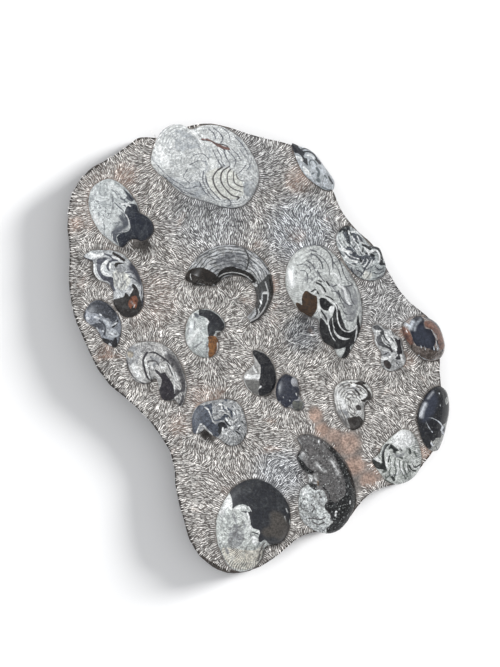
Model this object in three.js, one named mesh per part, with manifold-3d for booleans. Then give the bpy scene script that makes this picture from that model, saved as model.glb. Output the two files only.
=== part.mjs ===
// A polished ammonite plate: a flat-backed slab of limestone, 600 mm long, with twenty ammonites standing
// out of it. It lies on its cut back. Millimetres, +Z up, origin at the middle of the underside.
import * as THREE from "three";
import { mergeVertices } from "three/addons/utils/BufferGeometryUtils.js";
import Module from "manifold-3d";

const wasm = await Module();
wasm.setup();

// ---- driving dimensions ------------------------------------------------------------------------

const GAP = 0.3; // clearance between a fossil and its pocket
const BACK_SCALE = 0.99; // the cut back is this much smaller than the slab's belly
const BELLY_HEIGHT = 9; // where the slab is widest
const TOP_EDGE_HEIGHT = 34; // where the broken side meets the carved top
const SIDE_LEAN = 0.978; // the top edge is drawn in towards LEAN_CENTRE by this scale
const LEAN_CENTRE = [170, 130];
const BREAKAGE = 1.5; // how far the breaks knock the side in and out
const WIDEST_REACH = 260; // half the slab's length, over which the belly makes up for the breakage
const LOFT_TOP = 90; // above everything, so that the height field ends the slab
const GROUND_HEIGHT = 39; // carved stone away from the fossils
const GROUND_SWELL = 2.5; // its long waves
const EDGE_DROP = 9; // how far the carved top rounds down towards the slab's edge
const EDGE_WIDTH = 24;
const MOUND_REACH = 15; // how far a fossil's stone mound spreads from its rim
const CELL = 13; // spacing of the carved top's facets
const OUTLINE_STEPS = 72;
const POCKET_DEPTH = 8; // how deep a fossil goes on below its rim
const CORNER_ALLOWANCE = 1.5; // a pocket's walls stand off by the gap times this, so its corners clear too
const RIM_SHOWS = 2; // how far a fossil's widest line stands above the stone

// The slab's outline seen from above, clockwise from the knob at its upper left.
const SLAB_OUTLINE = [
  [-155, 279], [-144, 279], [-133, 273], [-123, 276], [-105, 285], [-77, 295], [-56, 295], [-36, 288],
  [-14, 280], [14, 274], [42, 268], [59, 261], [75, 249], [89, 231], [98, 208], [111, 175], [125, 158],
  [141, 144], [157, 131], [166, 108], [188, 71], [209, 51], [229, 37], [241, 18], [241, -6], [236, -26],
  [237, -46], [245, -62], [249, -80], [245, -99], [241, -121], [227, -141], [213, -155], [204, -170],
  [183, -179], [158, -183], [138, -196], [127, -213], [116, -229], [98, -240], [70, -240], [47, -252],
  [33, -266], [14, -281], [-8, -292], [-28, -297], [-49, -292], [-70, -278], [-84, -265], [-93, -241],
  [-101, -209], [-109, -180], [-109, -158], [-119, -128], [-137, -102], [-161, -77], [-189, -53],
  [-210, -28], [-223, -1], [-237, 31], [-245, 63], [-249, 96], [-246, 128], [-250, 168], [-246, 198],
  [-236, 219], [-218, 235], [-187, 253], [-170, 266],
];

// Each ammonite is a polished dome over an outline. eye is its umbilicus, where its whorls start; rim is
// the height of its widest line there, rise the dome above it, and lean the slope of that line in X and Y.
// Outlines run clockwise.
const AMMONITES = {
  ammonite_top_large: {
    eye: [-62, 240], rim: 45, rise: 19, lean: [0.02, -0.1], sectors: 28, color: 0xb9bbb6,
    outline: [[-138, 245], [-129, 271], [-115, 284], [-96, 288], [-76, 298], [-53, 296], [-28, 283],
      [-10, 259], [2, 228], [-2, 203], [-19, 184], [-41, 180], [-67, 184], [-97, 198], [-124, 223]],
  },
  ammonite_top_right: {
    eye: [72, 234], rim: 31, rise: 7, lean: [-0.85, -0.7], sectors: 16, color: 0xa9b0b6,
    outline: [[45, 267], [57, 263], [71, 258], [88, 237], [101, 215], [96, 205], [79, 211], [60, 227],
      [50, 248]],
  },
  ammonite_upper_left: {
    eye: [-172, 180], rim: 45, rise: 12, lean: [0.06, 0], sectors: 20, color: 0x8f959a,
    outline: [[-219, 192], [-214, 210], [-200, 219], [-181, 218], [-170, 207], [-161, 190], [-153, 176],
      [-140, 168], [-133, 155], [-138, 144], [-153, 138], [-168, 137], [-183, 132], [-201, 146], [-214, 166]],
  },
  ammonite_left_crescent: {
    eye: [-171, 98], rim: 45, rise: 11, lean: [0.04, 0], sectors: 20, color: 0x6f7378,
    outline: [[-226, 119], [-216, 127], [-201, 128], [-180, 125], [-164, 112], [-153, 94], [-148, 71],
      [-151, 51], [-166, 40], [-179, 46], [-187, 59], [-187, 73], [-194, 84], [-207, 90], [-214, 102],
      [-213, 112]],
  },
  ammonite_left_small: {
    eye: [-196, 36], rim: 42, rise: 8, lean: [0.1, 0], sectors: 16, color: 0x5d6267,
    outline: [[-226, 41], [-220, 55], [-210, 63], [-196, 59], [-184, 47], [-177, 31], [-179, 14], [-187, -1],
      [-194, 7], [-203, 11], [-206, 23], [-218, 31]],
  },
  ammonite_right_large: {
    eye: [81, 74], rim: 46, rise: 17, lean: [-0.04, 0.02], sectors: 26, color: 0x9a9d9a,
    outline: [[36, 92], [40, 111], [50, 125], [66, 133], [85, 132], [102, 120], [116, 103], [128, 83],
      [135, 60], [135, 34], [129, 14], [123, 2], [109, -16], [101, -1], [89, 5], [81, 20], [79, 37],
      [59, 45], [45, 62], [38, 75]],
  },
  ammonite_right_upper: {
    eye: [136, 123], rim: 38, rise: 9, lean: [-0.22, -0.2], sectors: 16, color: 0x7d8082,
    outline: [[102, 141], [109, 157], [120, 159], [133, 150], [146, 135], [158, 131], [164, 116], [167, 101],
      [157, 90], [137, 90], [120, 102], [109, 120]],
  },
  ammonite_right_dome: {
    eye: [217, 12], rim: 34, rise: 18, lean: [-0.3, -0.06], sectors: 18, color: 0x2b2f38,
    outline: [[188, 24], [194, 37], [207, 42], [222, 40], [235, 31], [242, 15], [244, -2], [235, -15],
      [220, -16], [207, -8], [196, 6]],
  },
  ammonite_right_middle: {
    eye: [171, 3], rim: 43, rise: 9, lean: [-0.08, 0], sectors: 16, color: 0x85888a,
    outline: [[146, 11], [151, 25], [163, 33], [177, 31], [188, 19], [192, 1], [189, -16], [177, -27],
      [163, -23], [151, -8]],
  },
  ammonite_lower_left: {
    eye: [-132, -24], rim: 43, rise: 12, lean: [0.05, 0.05], sectors: 20, color: 0x969a9b,
    outline: [[-170, -15], [-167, -2], [-157, 7], [-140, 11], [-123, 6], [-109, -7], [-99, -23], [-93, -40],
      [-92, -58], [-97, -73], [-105, -76], [-116, -68], [-125, -60], [-129, -49], [-140, -46], [-155, -42],
      [-166, -29]],
  },
  ammonite_middle_round: {
    eye: [-70, 18], rim: 44, rise: 12, lean: [0, 0], sectors: 18, color: 0xa0a3a4,
    outline: [[-96, 24], [-92, 38], [-80, 49], [-64, 50], [-50, 42], [-42, 28], [-47, 14], [-53, -1],
      [-63, -11], [-76, -10], [-88, 1], [-94, 12]],
  },
  ammonite_lower_middle: {
    eye: [-50, -88], rim: 43, rise: 11, lean: [0, 0.03], sectors: 20, color: 0x73797f,
    outline: [[-85, -98], [-83, -81], [-72, -71], [-55, -67], [-36, -66], [-23, -73], [-16, -90], [-14, -109],
      [-23, -123], [-36, -127], [-47, -119], [-60, -112], [-71, -105], [-81, -114]],
  },
  ammonite_small_black: {
    eye: [2, -36], rim: 43, rise: 10, lean: [-0.05, 0], sectors: 16, color: 0x3a3f46,
    outline: [[-18, -38], [-12, -24], [-7, -11], [-2, -2], [8, -5], [18, -16], [24, -33], [21, -51],
      [11, -62], [-1, -60], [-12, -51]],
  },
  ammonite_small_blue: {
    eye: [44, -58], rim: 43, rise: 9, lean: [0, 0], sectors: 16, color: 0x3c434e,
    outline: [[24, -62], [27, -46], [36, -36], [46, -33], [57, -41], [62, -54], [60, -68], [54, -79],
      [42, -80], [31, -73]],
  },
  ammonite_lower_right_pale: {
    eye: [126, -74], rim: 42, rise: 11, lean: [-0.04, 0], sectors: 18, color: 0xb4b2a8,
    outline: [[99, -76], [102, -58], [110, -46], [123, -41], [137, -42], [148, -53], [148, -70], [142, -89],
      [133, -103], [120, -107], [109, -99], [102, -88]],
  },
  ammonite_right_black: {
    eye: [229, -90], rim: 33, rise: 15, lean: [-0.5, 0.05], sectors: 18, color: 0x24282d,
    outline: [[237, -49], [245, -54], [249, -64], [250, -83], [246, -103], [240, -123], [232, -135],
      [222, -131], [214, -119], [209, -103], [207, -86], [214, -68], [224, -54]],
  },
  ammonite_lower_right_edge: {
    eye: [183, -145], rim: 36, rise: 10, lean: [-0.2, 0.2], sectors: 18, color: 0x8c9090,
    outline: [[149, -145], [158, -136], [164, -124], [175, -114], [188, -105], [201, -109], [210, -125],
      [214, -144], [209, -161], [198, -172], [183, -177], [171, -175], [159, -162]],
  },
  ammonite_bottom_long: {
    eye: [97, -174], rim: 42, rise: 18, lean: [-0.08, 0.08], sectors: 26, color: 0x3f4347,
    outline: [[51, -116], [63, -111], [81, -116], [99, -129], [115, -148], [125, -174], [127, -201],
      [116, -226], [98, -240], [73, -236], [57, -222], [53, -200], [58, -180], [69, -171], [56, -154],
      [51, -140], [56, -129]],
  },
  ammonite_bottom_large: {
    eye: [-5, -240], rim: 42, rise: 19, lean: [-0.06, 0.1], sectors: 26, color: 0x5c6064,
    outline: [[-54, -235], [-50, -214], [-42, -196], [-31, -180], [-15, -171], [1, -170], [16, -176],
      [31, -188], [41, -205], [45, -220], [41, -239], [31, -253], [15, -259], [3, -275], [-10, -289],
      [-25, -294], [-40, -284], [-49, -263], [-53, -250]],
  },
};

// The dome's section: how far out from the eye (0 to 1), and how high on the dome (0 to 1).
const DOME_SECTION = [[0.15, 0.97], [0.5, 0.87], [0.82, 0.48], [1, 0]];
const EYE_DIMPLE = 0.8; // the umbilicus sits below its shoulder, at this share of the rise
const BASE_SCALE = 0.88; // the buried end against the rim

// The open whorl is a piece of a shell whose middle is missing: the space between two circles.
const OPEN_WHORL = {
  centre: [-38, 76],
  outerRadius: 58,
  outerTaper: 6, // the outer radius lost at its thin end
  innerCentre: [-30, 66],
  innerRadius: 29,
  startAngle: 168,
  endAngle: -56,
  stations: 12,
  thinning: 0.2, // its thin end is this much lower than its thick one
  foot: 33, // height of its buried side
  bed: 45, // height of its rim line
  color: 0x77767a,
};
// Its section: share of the way from the inner to the outer edge, and height, once round.
const WHORL_SECTION = [
  [0, 43], [0.12, 53], [0.3, 60], [0.58, 62], [0.85, 55], [1, 45], [0.93, 33], [0.1, 33],
];

// ---- outlines ----------------------------------------------------------------------------------

// A smooth closed line through the points, as evenly spaced points that run anticlockwise.
function smoothOutline(points, steps) {
  const corners = points.map(([x, y]) => new THREE.Vector3(x, y, 0));
  const curve = new THREE.CatmullRomCurve3(corners, true, "centripetal");
  return curve.getSpacedPoints(steps).slice(0, steps).reverse();
}

// Distance from (x, y) to a closed line: positive outside it, negative inside.
function distanceTo(outline, x, y) {
  let nearest = Infinity;
  let inside = false;
  for (let i = 0; i < outline.length; i++) {
    const a = outline[i];
    const b = outline[(i + 1) % outline.length];
    const dx = b.x - a.x;
    const dy = b.y - a.y;
    const along = THREE.MathUtils.clamp(((x - a.x) * dx + (y - a.y) * dy) / (dx * dx + dy * dy), 0, 1);
    nearest = Math.min(nearest, Math.hypot(x - a.x - along * dx, y - a.y - along * dy));
    if (a.y > y !== b.y > y && x < a.x + ((y - a.y) / dy) * dx) inside = !inside;
  }
  return inside ? -nearest : nearest;
}

// The unit direction at an angle in degrees.
function direction(angle) {
  return new THREE.Vector2(1, 0).rotateAround(new THREE.Vector2(), angle * THREE.MathUtils.DEG2RAD);
}

// How far the open whorl's inner and outer edges lie from its centre, along an angle in degrees.
function whorlEdges(angle) {
  const { centre, outerRadius, outerTaper, innerCentre, innerRadius, endAngle } = OPEN_WHORL;
  const offset = new THREE.Vector2(innerCentre[0] - centre[0], innerCentre[1] - centre[1]);
  const along = offset.dot(direction(angle));
  const inner = along + Math.sqrt(innerRadius ** 2 - offset.lengthSq() + along ** 2);
  const outer = outerRadius - outerTaper * Math.max(0, angle / endAngle);
  return { inner, outer };
}

// ---- solids ------------------------------------------------------------------------------------

function middleOf(points) {
  return points.reduce((sum, p) => sum.add(p), new THREE.Vector3()).divideScalar(points.length);
}

// Rings of points, joined ring to ring, make a closed skin. Each end is closed by a fan to the ring's own
// middle, or at the first end to the point given for it.
function skinRings(rings, firstPoint) {
  const positions = [];
  const index = [];
  const size = rings[0].length;
  for (const ring of rings) for (const p of ring) positions.push(p.x, p.y, p.z);
  for (let r = 0; r < rings.length - 1; r++) {
    const here = r * size;
    const next = here + size;
    for (let i = 0; i < size; i++) {
      const j = (i + 1) % size;
      index.push(here + i, next + i, next + j, here + i, next + j, here + j);
    }
  }
  const first = firstPoint ?? middleOf(rings[0]);
  const last = middleOf(rings[rings.length - 1]);
  const firstIndex = positions.length / 3;
  positions.push(first.x, first.y, first.z, last.x, last.y, last.z);
  const lastRing = (rings.length - 1) * size;
  for (let i = 0; i < size; i++) {
    const j = (i + 1) % size;
    index.push(firstIndex, i, j);
    index.push(firstIndex + 1, lastRing + j, lastRing + i);
  }
  const geometry = new THREE.BufferGeometry();
  geometry.setAttribute("position", new THREE.Float32BufferAttribute(positions, 3));
  geometry.setIndex(index);
  return geometry;
}

// One domed ammonite, from its umbilicus out over the dome to the rim, and in under it to its buried end.
// swell makes the same shape larger all round, for the pocket that holds it.
function domeGeometry(fossil, swell = 0) {
  const { eye, rim, rise, outline, sectors } = fossil;
  const line = smoothOutline(outline, sectors);
  const outward = line.map((p, i) => {
    const along = line[(i + 1) % sectors].clone().sub(line[(i + sectors - 1) % sectors]).normalize();
    return new THREE.Vector3(along.y, -along.x, 0).multiplyScalar(swell * CORNER_ALLOWANCE);
  });
  const ring = (scale, height) => line.map((p, i) => {
    const x = eye[0] + (p.x - eye[0]) * scale + outward[i].x;
    const y = eye[1] + (p.y - eye[1]) * scale + outward[i].y;
    return new THREE.Vector3(x, y, rimHeight(fossil, x, y) + height);
  });
  const rings = DOME_SECTION.map(([scale, height]) => ring(scale, rise * height + swell));
  rings.push(ring(BASE_SCALE, -POCKET_DEPTH - swell));
  const top = new THREE.Vector3(eye[0], eye[1], rim + rise * EYE_DIMPLE + swell);
  return skinRings(rings, top);
}

// The open whorl, swept round its arc. It thins towards its far end.
function openWhorlGeometry(swell = 0) {
  const { centre, startAngle, endAngle, stations, thinning, foot } = OPEN_WHORL;
  const rings = [];
  for (let s = 0; s <= stations; s++) {
    const angle = THREE.MathUtils.lerp(startAngle, endAngle, s / stations);
    const past = s === 0 ? swell : s === stations ? -swell : 0; // degrees that a pocket runs past each end
    const { inner, outer } = whorlEdges(angle);
    const ray = direction(angle + past);
    const thickness = 1 - thinning * (s / stations);
    rings.push(WHORL_SECTION.map(([share, height]) => {
      const radius = THREE.MathUtils.lerp(inner - swell, outer + swell, share);
      const z = foot + (height - foot) * thickness + (height > foot ? swell : -swell);
      return new THREE.Vector3(centre[0] + radius * ray.x, centre[1] + radius * ray.y, z);
    }));
  }
  return skinRings(rings);
}

// A closed solid whose top follows the carved stone, and whose sides and bottom lie outside the slab.
function carvedBlock(heightAt) {
  const reach = { left: -262, right: 262, front: -310, back: 312, bottom: -20 };
  const columns = Math.ceil((reach.right - reach.left) / CELL);
  const rows = Math.ceil((reach.back - reach.front) / CELL);
  const layers = [[], []];
  for (let r = 0; r <= rows; r++) {
    for (let c = 0; c <= columns; c++) {
      const shift = r % 2 === 0 || c === 0 || c === columns ? 0 : CELL / 2; // alternate rows are staggered
      const x = reach.left + Math.min(c * CELL + shift, columns * CELL - (c < columns ? 1 : 0));
      const y = reach.front + r * CELL;
      layers[0].push([x, y, heightAt(x, y)]);
      layers[1].push([x, y, reach.bottom]);
    }
  }
  const width = columns + 1;
  const below = layers[0].length;
  const index = [];
  for (let r = 0; r < rows; r++) {
    for (let c = 0; c < columns; c++) {
      const a = r * width + c;
      const b = a + 1;
      const d = a + width;
      const e = d + 1;
      const cut = r % 2 === 0 ? [a, b, d, b, e, d] : [a, b, e, a, e, d];
      for (let t = 0; t < 6; t += 3) {
        index.push(cut[t], cut[t + 1], cut[t + 2]);
        index.push(below + cut[t], below + cut[t + 2], below + cut[t + 1]);
      }
    }
  }
  const edge = [];
  for (let c = 0; c < columns; c++) edge.push(c);
  for (let r = 0; r < rows; r++) edge.push(r * width + columns);
  for (let c = columns; c > 0; c--) edge.push(rows * width + c);
  for (let r = rows; r > 0; r--) edge.push(r * width);
  edge.forEach((a, i) => {
    const b = edge[(i + 1) % edge.length];
    index.push(a, below + a, below + b, a, below + b, b);
  });
  const geometry = new THREE.BufferGeometry();
  geometry.setAttribute("position", new THREE.Float32BufferAttribute(layers.flat(2), 3));
  geometry.setIndex(index);
  return geometry;
}

// The slab's broken side, from the cut back to far above the top: widest at its belly, drawn in above, and
// knocked in and out by the breaks along it.
function sideLoft() {
  const belly = smoothOutline(SLAB_OUTLINE, OUTLINE_STEPS);
  const middle = middleOf(belly);
  const layer = (about, scale, z, turn) => belly.map((p, i) => {
    const knocked = BREAKAGE * Math.sin(i * 2.4 + turn) * Math.sin(i * 0.9);
    const grown = scale - (BREAKAGE + knocked) / p.distanceTo(middle);
    return new THREE.Vector3(about[0] + (p.x - about[0]) * grown, about[1] + (p.y - about[1]) * grown, z);
  });
  const round = [middle.x, middle.y];
  const edge = layer(LEAN_CENTRE, SIDE_LEAN, TOP_EDGE_HEIGHT, 2);
  const above = edge.map((p) => p.clone().setZ(LOFT_TOP));
  const widest = layer(round, 1 + BREAKAGE / WIDEST_REACH, BELLY_HEIGHT, 0);
  return skinRings([above, edge, widest, layer(round, BACK_SCALE, 0, 4)]);
}

// Height of a fossil's rim, which leans, above a point.
function rimHeight({ eye, rim, lean }, x, y) {
  return rim + lean[0] * (x - eye[0]) + lean[1] * (y - eye[1]);
}

// The open whorl's outline: out along its outer edge and back along its inner one.
function openWhorlOutline() {
  const { centre, startAngle, endAngle, stations } = OPEN_WHORL;
  const angles = [];
  for (let s = 0; s <= stations; s++) angles.push(THREE.MathUtils.lerp(startAngle, endAngle, s / stations));
  const edge = (side) => angles.map((angle) => {
    const ray = direction(angle).multiplyScalar(whorlEdges(angle)[side]);
    return new THREE.Vector3(centre[0] + ray.x, centre[1] + ray.y, 0);
  });
  return [...edge("outer"), ...edge("inner").reverse()];
}

// Height of the carved stone: long swells, rounded down at the slab's edge, and raised in a mound that
// meets each fossil just under its rim.
function stoneHeight() {
  const slab = smoothOutline(SLAB_OUTLINE, OUTLINE_STEPS);
  const rims = Object.values(AMMONITES).map((fossil) => ({
    line: smoothOutline(fossil.outline, 32),
    height: (x, y) => rimHeight(fossil, x, y),
  }));
  rims.push({ line: openWhorlOutline(), height: () => OPEN_WHORL.bed });
  return (x, y) => {
    const swell = GROUND_SWELL * (Math.sin(x / 41 + y / 67) + Math.sin(y / 47 - x / 83));
    const depthIn = Math.max(0, -distanceTo(slab, x, y));
    const drop = EDGE_DROP * Math.exp(-((depthIn / EDGE_WIDTH) ** 2) * 2);
    let total = GROUND_HEIGHT + swell - drop;
    let weights = 1;
    for (const { line, height } of rims) {
      const away = Math.max(0, distanceTo(line, x, y));
      const near = Math.exp(-((away / MOUND_REACH) ** 2));
      const weight = near / (1.02 - near);
      total += weight * (height(x, y) - RIM_SHOWS);
      weights += weight;
    }
    return total / weights;
  };
}

// ---- booleans ----------------------------------------------------------------------------------

function toSolid(geometry) {
  const merged = mergeVertices(geometry, 1e-4);
  return new wasm.Manifold(new wasm.Mesh({
    numProp: 3,
    vertProperties: new Float32Array(merged.attributes.position.array),
    triVerts: new Uint32Array(merged.index.array),
  }));
}

function toGeometry(solid) {
  const mesh = solid.getMesh();
  const geometry = new THREE.BufferGeometry();
  geometry.setAttribute("position", new THREE.Float32BufferAttribute(mesh.vertProperties, 3));
  geometry.setIndex(new THREE.Uint32BufferAttribute(mesh.triVerts, 1));
  return geometry;
}

// ---- the plate ---------------------------------------------------------------------------------

const fossils = Object.entries(AMMONITES).map(([name, fossil]) => ({
  name,
  color: fossil.color,
  geometry: domeGeometry(fossil),
  pocket: domeGeometry(fossil, GAP),
}));
fossils.push({
  name: "ammonite_open_whorl",
  color: OPEN_WHORL.color,
  geometry: openWhorlGeometry(),
  pocket: openWhorlGeometry(GAP),
});

let slab = toSolid(carvedBlock(stoneHeight())).intersect(toSolid(sideLoft()));
for (const { pocket } of fossils) slab = slab.subtract(toSolid(pocket));
// A pocket at the slab's edge can cut off a crumb of stone outside the fossil, which is left out.
const crumbs = slab.decompose().sort((a, b) => b.volume() - a.volume());
const matrix = toGeometry(crumbs[0]);

const group = new THREE.Group();
group.name = "ammonite_plate";

function addPiece(name, geometry, color, roughness) {
  const mesh = new THREE.Mesh(geometry, new THREE.MeshStandardMaterial({ color, roughness, metalness: 0 }));
  mesh.name = name;
  group.add(mesh);
}

addPiece("matrix", matrix, 0x9c938b, 0.9);
for (const { name, geometry, color } of fossils) addPiece(name, geometry, color, 0.2);

// The origin is the middle of the underside.
const bounds = new THREE.Box3().setFromObject(group);
group.position.set(-(bounds.min.x + bounds.max.x) / 2, -(bounds.min.y + bounds.max.y) / 2, -bounds.min.z);
group.updateMatrixWorld(true);

export default group;
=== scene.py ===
# %% [markdown]
# # A polished ammonite plate
# The object is a flat-backed slab of limestone with twenty ammonites standing out of it. The shells are
# ground and polished like marble; the stone between them is carved away in thousands of short chisel strokes
# that run out from every shell like combed hair. The solids already say where everything is, so this lesson
# only dresses them: it reads each solid's own rim and height, and builds the fine surface over it.

# %% Load the solids
import math

import bmesh
import bpy
import numpy as np
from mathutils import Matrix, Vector, noise
from mathutils.bvhtree import BVHTree


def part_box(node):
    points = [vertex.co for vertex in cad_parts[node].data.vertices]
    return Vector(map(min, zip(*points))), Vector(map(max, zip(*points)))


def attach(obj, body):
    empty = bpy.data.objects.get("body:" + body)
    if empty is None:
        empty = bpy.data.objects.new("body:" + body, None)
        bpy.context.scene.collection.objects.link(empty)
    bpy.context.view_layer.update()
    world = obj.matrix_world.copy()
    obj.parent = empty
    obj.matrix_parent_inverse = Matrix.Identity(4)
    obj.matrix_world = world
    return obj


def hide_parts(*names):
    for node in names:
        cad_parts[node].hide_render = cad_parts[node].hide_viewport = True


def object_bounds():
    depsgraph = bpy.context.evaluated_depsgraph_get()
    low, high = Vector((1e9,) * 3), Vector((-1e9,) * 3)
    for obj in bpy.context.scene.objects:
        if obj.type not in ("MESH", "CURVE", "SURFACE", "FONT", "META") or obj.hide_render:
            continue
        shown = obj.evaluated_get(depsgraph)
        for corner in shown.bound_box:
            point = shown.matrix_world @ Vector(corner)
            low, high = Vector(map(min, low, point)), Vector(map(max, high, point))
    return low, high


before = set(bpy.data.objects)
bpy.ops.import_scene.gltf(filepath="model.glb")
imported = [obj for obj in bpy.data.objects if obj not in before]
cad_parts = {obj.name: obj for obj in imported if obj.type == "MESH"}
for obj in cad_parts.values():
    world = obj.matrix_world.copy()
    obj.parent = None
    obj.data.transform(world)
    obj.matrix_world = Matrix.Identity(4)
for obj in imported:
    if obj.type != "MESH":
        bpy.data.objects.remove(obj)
cad_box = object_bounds()
MM = 0.001
TINY = 1e-12  # keeps a division by a length safe where the length is nothing
PLAN_STEP = 1.3 * MM  # one unit of the plan that the markings are drawn on
PLAN_MIDDLE = (257.5, 347.67)  # the plan's point that lies over the slab's own origin
WHORL = "ammonite_open_whorl"
DOMES = sorted(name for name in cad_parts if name.startswith("ammonite") and name != WHORL)
rng = np.random.default_rng(7)
print(len(DOMES), "domes and one open whorl in a slab of", np.round(cad_box[1] - cad_box[0], 3), "m")

# %% [markdown]
# ## Plan drawings
# Markings such as a black chamber are drawn as a few points on a plan of the plate, seen from above with
# rows counted downwards. A smooth closed line runs through them. How far a point lies inside such a line, in
# metres, is then all that a material needs to know: an edge stays crisp however near one looks, which a
# painted picture would not. Long lists of places are kept as words, with commas inside each place.

# %% Plan helpers
BATCH = 4000  # points measured against a line at one time, to spare memory


def rows_of(words):
    """Numbers from words, one row for each word: "1,2 3,4" gives two rows of two."""
    return np.array([word.split(",") for word in words.split()], float)


def on_plan(points):
    """Plan units to metres in the slab's frame."""
    p = np.asarray(points, float)
    return np.stack([(p[..., 0] - PLAN_MIDDLE[0]) * PLAN_STEP, (PLAN_MIDDLE[1] - p[..., 1]) * PLAN_STEP], -1)


def away_from(points, place):
    """How far each point is from a place on the plan, in metres."""
    return np.hypot(*(points - on_plan(place)).T)


def bend_between(a, b, c, d, u):
    """Points between b and c, on a smooth line that runs through all four."""
    return 0.5 * (2 * b + (c - a) * u + (2 * a - 5 * b + 4 * c - d) * u**2 + (3 * b - a - 3 * c + d) * u**3)


def closed_curve(points, steps):
    """A smooth closed line through the points."""
    p = np.asarray(points, float)
    t = np.arange(steps) * len(p) / steps
    i = t.astype(int)
    before, after, beyond = (np.roll(p, shift, 0)[i] for shift in (1, -1, -2))
    return bend_between(before, p[i], after, beyond, (t - i)[:, None])


def open_curve(points, steps_each=6):
    """A smooth open line through the points."""
    p = np.asarray(points, float)
    p = np.vstack([2 * p[0] - p[1], p, 2 * p[-1] - p[-2]])
    u = np.linspace(0, 1, steps_each, endpoint=False)[:, None]
    return np.vstack([*(bend_between(*p[k - 1 : k + 3], u) for k in range(1, len(p) - 2)), p[-2:-1]])


def nearest_on(points, line):
    """For each point, how deep it lies inside the closed line (negative outside), and the way out of it."""
    start, step = line, np.roll(line, -1, 0) - line
    rise = np.where(step[:, 1] == 0, TINY, step[:, 1])
    depth, way = np.empty(len(points)), np.empty((len(points), 2))
    for k in range(0, len(points), BATCH):
        p = points[k : k + BATCH, None]
        along = np.clip(((p - start) * step).sum(-1) / (step**2).sum(-1), 0, 1)
        gap = p - start - along[..., None] * step
        far = np.hypot(gap[..., 0], gap[..., 1])
        best = far.argmin(1)
        rows = np.arange(len(best))
        crossing = (start[:, 1] > p[..., 1]) != (start[:, 1] + step[:, 1] > p[..., 1])
        right = p[..., 0] < start[:, 0] + (p[..., 1] - start[:, 1]) / rise * step[:, 0]
        sign = np.where((crossing & right).sum(1) % 2 == 1, 1.0, -1.0)
        depth[k : k + BATCH] = sign * far[rows, best]
        way[k : k + BATCH] = -sign[:, None] * gap[rows, best] / np.maximum(far[rows, best], TINY)[:, None]
    return depth, way


def anticlockwise(loop):
    x, y = loop.T
    return loop if (x * np.roll(y, -1) - y * np.roll(x, -1)).sum() > 0 else loop[::-1]


def way_round(loop):
    """The length of a closed line."""
    return np.hypot(*(loop - np.roll(loop, 1, 0)).T).sum()


def smooth_step(low, high, value):
    """From 0 at low to 1 at high, easing in and out."""
    t = np.clip((value - low) / (high - low), 0, 1)
    return t * t * (3 - 2 * t)


def knock(points, height, size, seed):
    """Roughness between -1 and 1 that runs through the stone in all directions."""
    return np.array([noise.noise(Vector((x, y, height + seed)) / size) for x, y in points])


# %% [markdown]
# ## Reading the solids
# A solid's triangles come loose, so a copy is merged first. Seen from above, a shell's rim is where faces
# that look up meet faces that look down. Walking that loop of edges gives the outline, and the one corner
# where most edges meet is the umbilicus, the eye that the whorls coil round. On nine shells the stone laps
# over the rim by a few millimetres, so their free outline is drawn.

# %% Rims, eyes and heights
MERGE = 0.02 * MM  # corners nearer than this are one corner
LOOKS_UP = 0.02  # how far a face's normal rises before the face counts as looking up


def merged_copy(node):
    """A node's faces as one joined mesh, to read and never to show."""
    bm = bmesh.new()
    bm.from_mesh(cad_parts[node].data)
    bmesh.ops.remove_doubles(bm, verts=bm.verts, dist=MERGE)
    bm.normal_update()
    return bm


def longest_loop(edges):
    """The longest closed walk along the edges, as points."""
    links = {}
    for e in edges:
        for v in e.verts:
            links.setdefault(v, []).append(e.other_vert(v))
    loops, left = [], set(links)
    while left:
        here, loop = next(v for v in links if v in left), []
        while here is not None:
            loop.append(here.co.copy())
            left.discard(here)
            here = next((v for v in links[here] if v in left), None)
        loops.append(loop)
    return np.array(max(loops, key=len))


def read_shell(node):
    """A dome's smooth rim, its eye, the plane that its rim leans in, and its height above that plane."""
    bm = merged_copy(node)
    rim = [e for e in bm.edges if len(e.link_faces) == 2
           and (e.link_faces[0].normal.z > LOOKS_UP) != (e.link_faces[1].normal.z > LOOKS_UP)]
    loop = longest_loop(rim)
    upper = [v for v in bm.verts if all(f.normal.z > 0 for f in v.link_faces)]
    eye = np.array(max(upper, key=lambda v: len(v.link_edges)).co)
    rows = np.c_[loop[:, :2] - eye[:2], np.ones(len(loop))]
    plane = np.linalg.lstsq(rows, loop[:, 2], rcond=None)[0]
    tops = [v.co.z - (plane[:2] @ (np.array(v.co)[:2] - eye[:2]) + plane[2]) for v in upper]
    bm.free()
    return {"rim": loop[:, :2], "eye": eye[:2], "plane": plane, "rise": max(tops)}


def rim_height(shell, xy):
    return (xy - shell["eye"]) @ shell["plane"][:2] + shell["plane"][2]


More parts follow.
